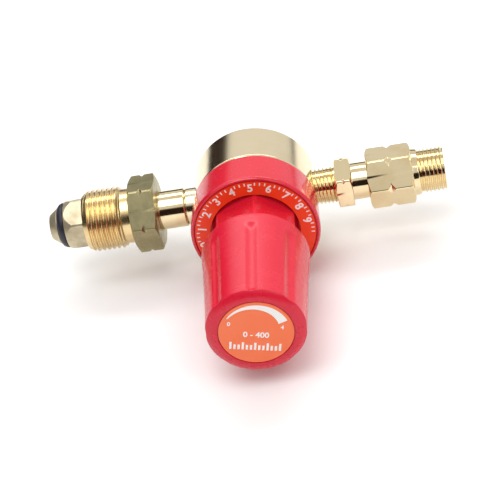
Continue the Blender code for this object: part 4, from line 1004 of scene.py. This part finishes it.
def makeAdaptor(s):
    low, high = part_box("outlet_adaptor")
    middle = (low.x + s.hexEnd * mm) / 2
    ringEnd = s.ringEnd * mm

    def column(angle):
        thread = threadRows(ringEnd + 0.1 * mm, high.x - 0.01 * mm, s.crest * mm, s.root * mm,
                            s.pitch * mm, 1, s.lead, s.runOut, angle)
        return rounded([
            (low.x, (s.socket + edgeBreak) * mm, fine),
            *hexSide(low.x, s.hexEnd * mm, s.flats * mm, s.corner, angle,
                     (s.chamfer * mm, s.chamfer * mm),
                     (middle, s.notchDepth * mm, s.notchWidth * mm)),
            (s.hexEnd * mm + 0.01 * mm, s.ring * mm, slight),
            (ringEnd - 0.5 * mm, (s.ring - 0.25) * mm, wide),
            (ringEnd - 0.05 * mm, s.root * mm, fine),
            *thread,
            (high.x, (s.mouth + 0.15) * mm, crisp),
            (high.x - 0.15 * mm, s.mouth * mm, fine),
            (high.x - s.coneDepth * mm, s.bore * mm, soft),
            (s.floor * mm, s.bore * mm, fine),
            (s.floor * mm, s.socket * mm, fine),
            (low.x + edgeBreak * mm, s.socket * mm, fine),
        ])

    piece = turned("hose_adaptor", hexAngles(s.corner), column, onPorts)
    return dress(piece, polishedBrass, "polished_brass", "root", "outlet_adaptor")


makeOutletNipple(sized(outlet))
makeAdaptor(sized(adaptor))
print("outlet made")


# springs with closed end turns, and a diaphragm built in sectors
def jointTravel(name):
    return next(joint["range_m"][1] for joint in frame["joints"] if joint["name"] == name)


def makeSpring(name, radius, wire, bottom, top, turns):
    # the first and last turns are closed
    stepsPerTurn, sides, seatGap = 40, 14, 0.2 * mm
    form = bmesh.new()
    closed = 2 * wire + seatGap
    openPitch = (top - bottom - 2 * wire - 2 * closed) / (turns - 2)
    steps = int(turns * stepsPerTurn)
    loops = []
    for step in range(steps + 1):
        turnedBy = turns * step / steps
        opened = min(max(turnedBy - 1, 0), turns - 2)
        height = bottom + wire + (turnedBy - opened) * closed + opened * openPitch
        loop = []
        for side in range(sides):
            angle = tau * side / sides
            reach = radius + wire * cos(angle)
            loop.append(form.verts.new(onKnobLine(height + wire * sin(angle), reach, tau * turnedBy)))
        loops.append(loop)
    for here, there in zip(loops, loops[1:]):
        for index in range(sides):
            after = (index + 1) % sides
            form.faces.new((here[index], here[after], there[after], there[index]))
    form.faces.new(list(reversed(loops[0])))
    form.faces.new(loops[-1])
    return asObject(name, form, 50)


mainSpring = {"wire": 1.1, "turns": 6.0}
poppetSpring = {"wire": 0.225, "turns": 5.0}


def makeMainSpring(s):
    low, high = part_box("main_spring")
    reach = (high.z - low.z) / 2
    wire = s.wire * mm
    piece = makeSpring("set_spring", reach - wire, wire, -high.y, -low.y, s.turns)
    dress(piece, platedSteel, "plated_steel", "root", "main_spring")
    travel = jointTravel("screw_feed")
    length = high.y - low.y
    (length - travel) / length
    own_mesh(piece)


def makePoppetSpring(s):
    low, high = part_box("poppet_spring")
    reach = (high.z - low.z) / 2
    wire = s.wire * mm
    piece = makeSpring("valve_spring", reach - wire, wire, -high.y, -low.y, s.turns)
    dress(piece, platedSteel, "plated_steel", "root", "poppet_spring")
    travel = jointTravel("poppet_travel")
    length = high.y - low.y
    (length - travel) / length
    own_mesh(piece)


diaphragm = {"sectors": 16, "steps": 6, "waveSteps": 12, "flatSteps": 8, "hole": 2.2, "waveStart": 13.1,
             "waveEnd": 15.3, "wave": 1.3, "thick": 1.0, "outer": 19.7, "still": 15.9}


def makeDiaphragm(s):
    # the rim is clamped while the middle follows the stack; the diaphragm is built as one piece per sector
    bottom = -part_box("diaphragm")[1].y
    width = tau / s.sectors
    flat, waves = s.flatSteps, s.waveSteps
    rows = [(s.hole + (s.waveStart - s.hole) * step / flat, 0) for step in range(flat)]
    rows += [(s.waveStart + (s.waveEnd - s.waveStart) * step / waves, sin(pi * step / waves) ** 2)
             for step in range(waves + 1)]
    rows += [(s.outer, 0)]
    last = len(rows) - 1
    for sector in range(s.sectors):
        form = bmesh.new()
        angles = [width * (sector + step / s.steps) for step in range(s.steps + 1)]
        lower, upper = [
            [[form.verts.new(onKnobLine(bottom + (lift + rise * s.wave) * mm, radius * mm, angle))
              for angle in angles] for radius, rise in rows]
            for lift in (0, s.thick)]
        for row in range(last):
            for step in range(s.steps):
                for sheet in (lower, upper):
                    form.faces.new((sheet[row][step], sheet[row][step + 1],
                                    sheet[row + 1][step + 1], sheet[row + 1][step]))
            for edge in (0, s.steps):
                form.faces.new((lower[row][edge], lower[row + 1][edge], upper[row + 1][edge], upper[row][edge]))
        for row in (0, last):
            for step in range(s.steps):
                form.faces.new((lower[row][step], lower[row][step + 1], upper[row][step + 1], upper[row][step]))
        piece = asObject("diaphragm_sector_" + str(sector + 1), form)
        piece.modifiers.clear()
        dress(piece, innerRubber, "black_rubber", None, "diaphragm")
        middle = width * (sector + 0.5)
        start = onKnobLine(bottom, s.still * mm, middle)
        end = onKnobLine(bottom, s.waveStart * mm, middle)
        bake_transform(piece)


makeMainSpring(sized(mainSpring))
makePoppetSpring(sized(poppetSpring))
makeDiaphragm(sized(diaphragm))
print("springs and diaphragm made")


# inner pieces keep their own shapes
innerFinishes = {
    "inlet_filter": sinteredBronze, "seat_nozzle": innerBrass, "nozzle_washer": copperWasher,
    "poppet": innerBrass, "poppet_pad": innerRubber, "diaphragm_stud": innerBrass,
    "diaphragm_plate": zincPlate, "diaphragm_nut": platedSteel, "slip_ring": innerBrass,
    "spring_button": platedSteel, "pressure_screw": platedSteel, "knob_screw": platedSteel,
    "outlet_seal": redFibre}

for nodeName, material in innerFinishes.items():
    node = frame["nodes"][nodeName]
    node.data.materials.clear()
    node.data.materials.append(material)
print("inner pieces dressed")


view = {"elevation": 35.88, "turn": 10.43, "distance": 600.0, "lens": 120.96, "right": 1.986, "up": 19.21,
        "sensor": 36.0, "nearest": 0.01}


def makeCamera(s):
    lift, turn = radians(s.elevation), radians(s.turn)
    right = Vector((cos(turn), 0, -sin(turn)))
    up = Vector((cos(lift) * sin(turn), sin(lift), cos(lift) * cos(turn)))
    back = Vector((sin(lift) * sin(turn), -cos(lift), sin(lift) * cos(turn)))
    spot = Vector((knobX, 0, 0)) - right * s.right * mm - up * s.up * mm + back * s.distance * mm
    data = bpy.data.cameras.new("camera")
    data.lens = s.lens
    data.sensor_width = s.sensor
    data.clip_start = s.nearest
    camera = bpy.data.objects.new("camera", data)
    camera.matrix_world = Matrix.Translation(spot) @ Matrix((right, up, back)).transposed().to_4x4()
    bpy.context.scene.collection.objects.link(camera)
    bpy.context.scene.camera = camera


# each light's place and size in metres, and its power in watts
lights = {"key": ((-0.05, -0.25, 0.85), (0.60, 0.50), 3.0),
          "top strip": ((0.10, 0.38, 0.55), (0.9, 0.16), 2.0),
          "right strip": ((0.52, -0.50, 0.58), (0.16, 0.5), 0.8),
          "left strip": ((-0.55, -0.50, 0.60), (0.16, 0.5), 0.6)}


def softLight(name, spot, size, power):
    data = bpy.data.lights.new(name, "AREA")
    data.shape = "RECTANGLE"
    data.size, data.size_y = size
    data.energy = power
    lamp = bpy.data.objects.new(name, data)
    lamp.location = spot
    aim = Vector((knobX, -0.02, 0)) - Vector(spot)
    lamp.rotation_euler = aim.to_track_quat("-Z", "Y").to_euler()
    bpy.context.scene.collection.objects.link(lamp)


floorLook = {"size": 4.0, "gap": 0.3, "colour": (0.93, 0.93, 0.93), "rough": 0.9}


def makeFloor(s):
    form = bmesh.new()
    bmesh.ops.create_grid(form, x_segments=1, y_segments=1, size=s.size)
    mesh = bpy.data.meshes.new("floor")
    form.to_mesh(mesh)
    form.free()
    floor = bpy.data.objects.new("floor", mesh)
    floor.location = (knobX, 0, cadBox[0][2] - s.gap * mm)
    bpy.context.scene.collection.objects.link(floor)
    paint = Paint("pale floor")
    mesh.materials.append(paint.finish(colour=s.colour, rough=s.rough, metal=0.0, specular=0.0))


studio = {"horizon": 0.24, "frontHorizon": 0.56, "tilt": -0.36, "soft": 0.06, "dark": (0.030, 0.016, 0.012),
          "light": (1.0, 0.985, 0.97), "strength": 0.82}


def makeWorld(s):
    # white walls and ceiling above a dark horizon, which stands higher in front and on the left
    world = bpy.data.worlds.new("studio")
    bpy.context.scene.world = world
    paint = Paint("studio", world)
    parts = paint.place("Generated")[1]
    front = paint.band(-1 * parts[1], 0.1, 0.7)
    edge = s.horizon + parts[0] * s.tilt + front * (s.frontHorizon - s.horizon)
    lit = paint.band(parts[2] - edge, -s.soft, s.soft)
    colour = paint.between(lit, s.dark, s.light)
    backdrop = paint.add("Background", {}, {"Color": colour, "Strength": s.strength})
    paint.add("OutputWorld", {}, {0: backdrop})
    bpy.context.scene.view_settings.view_transform = "Standard"


makeCamera(sized(view))
makeFloor(sized(floorLook))
makeWorld(sized(studio))
for lightName, (spot, size, power) in lights.items():
    softLight(lightName, spot, size, power)
print("studio set")
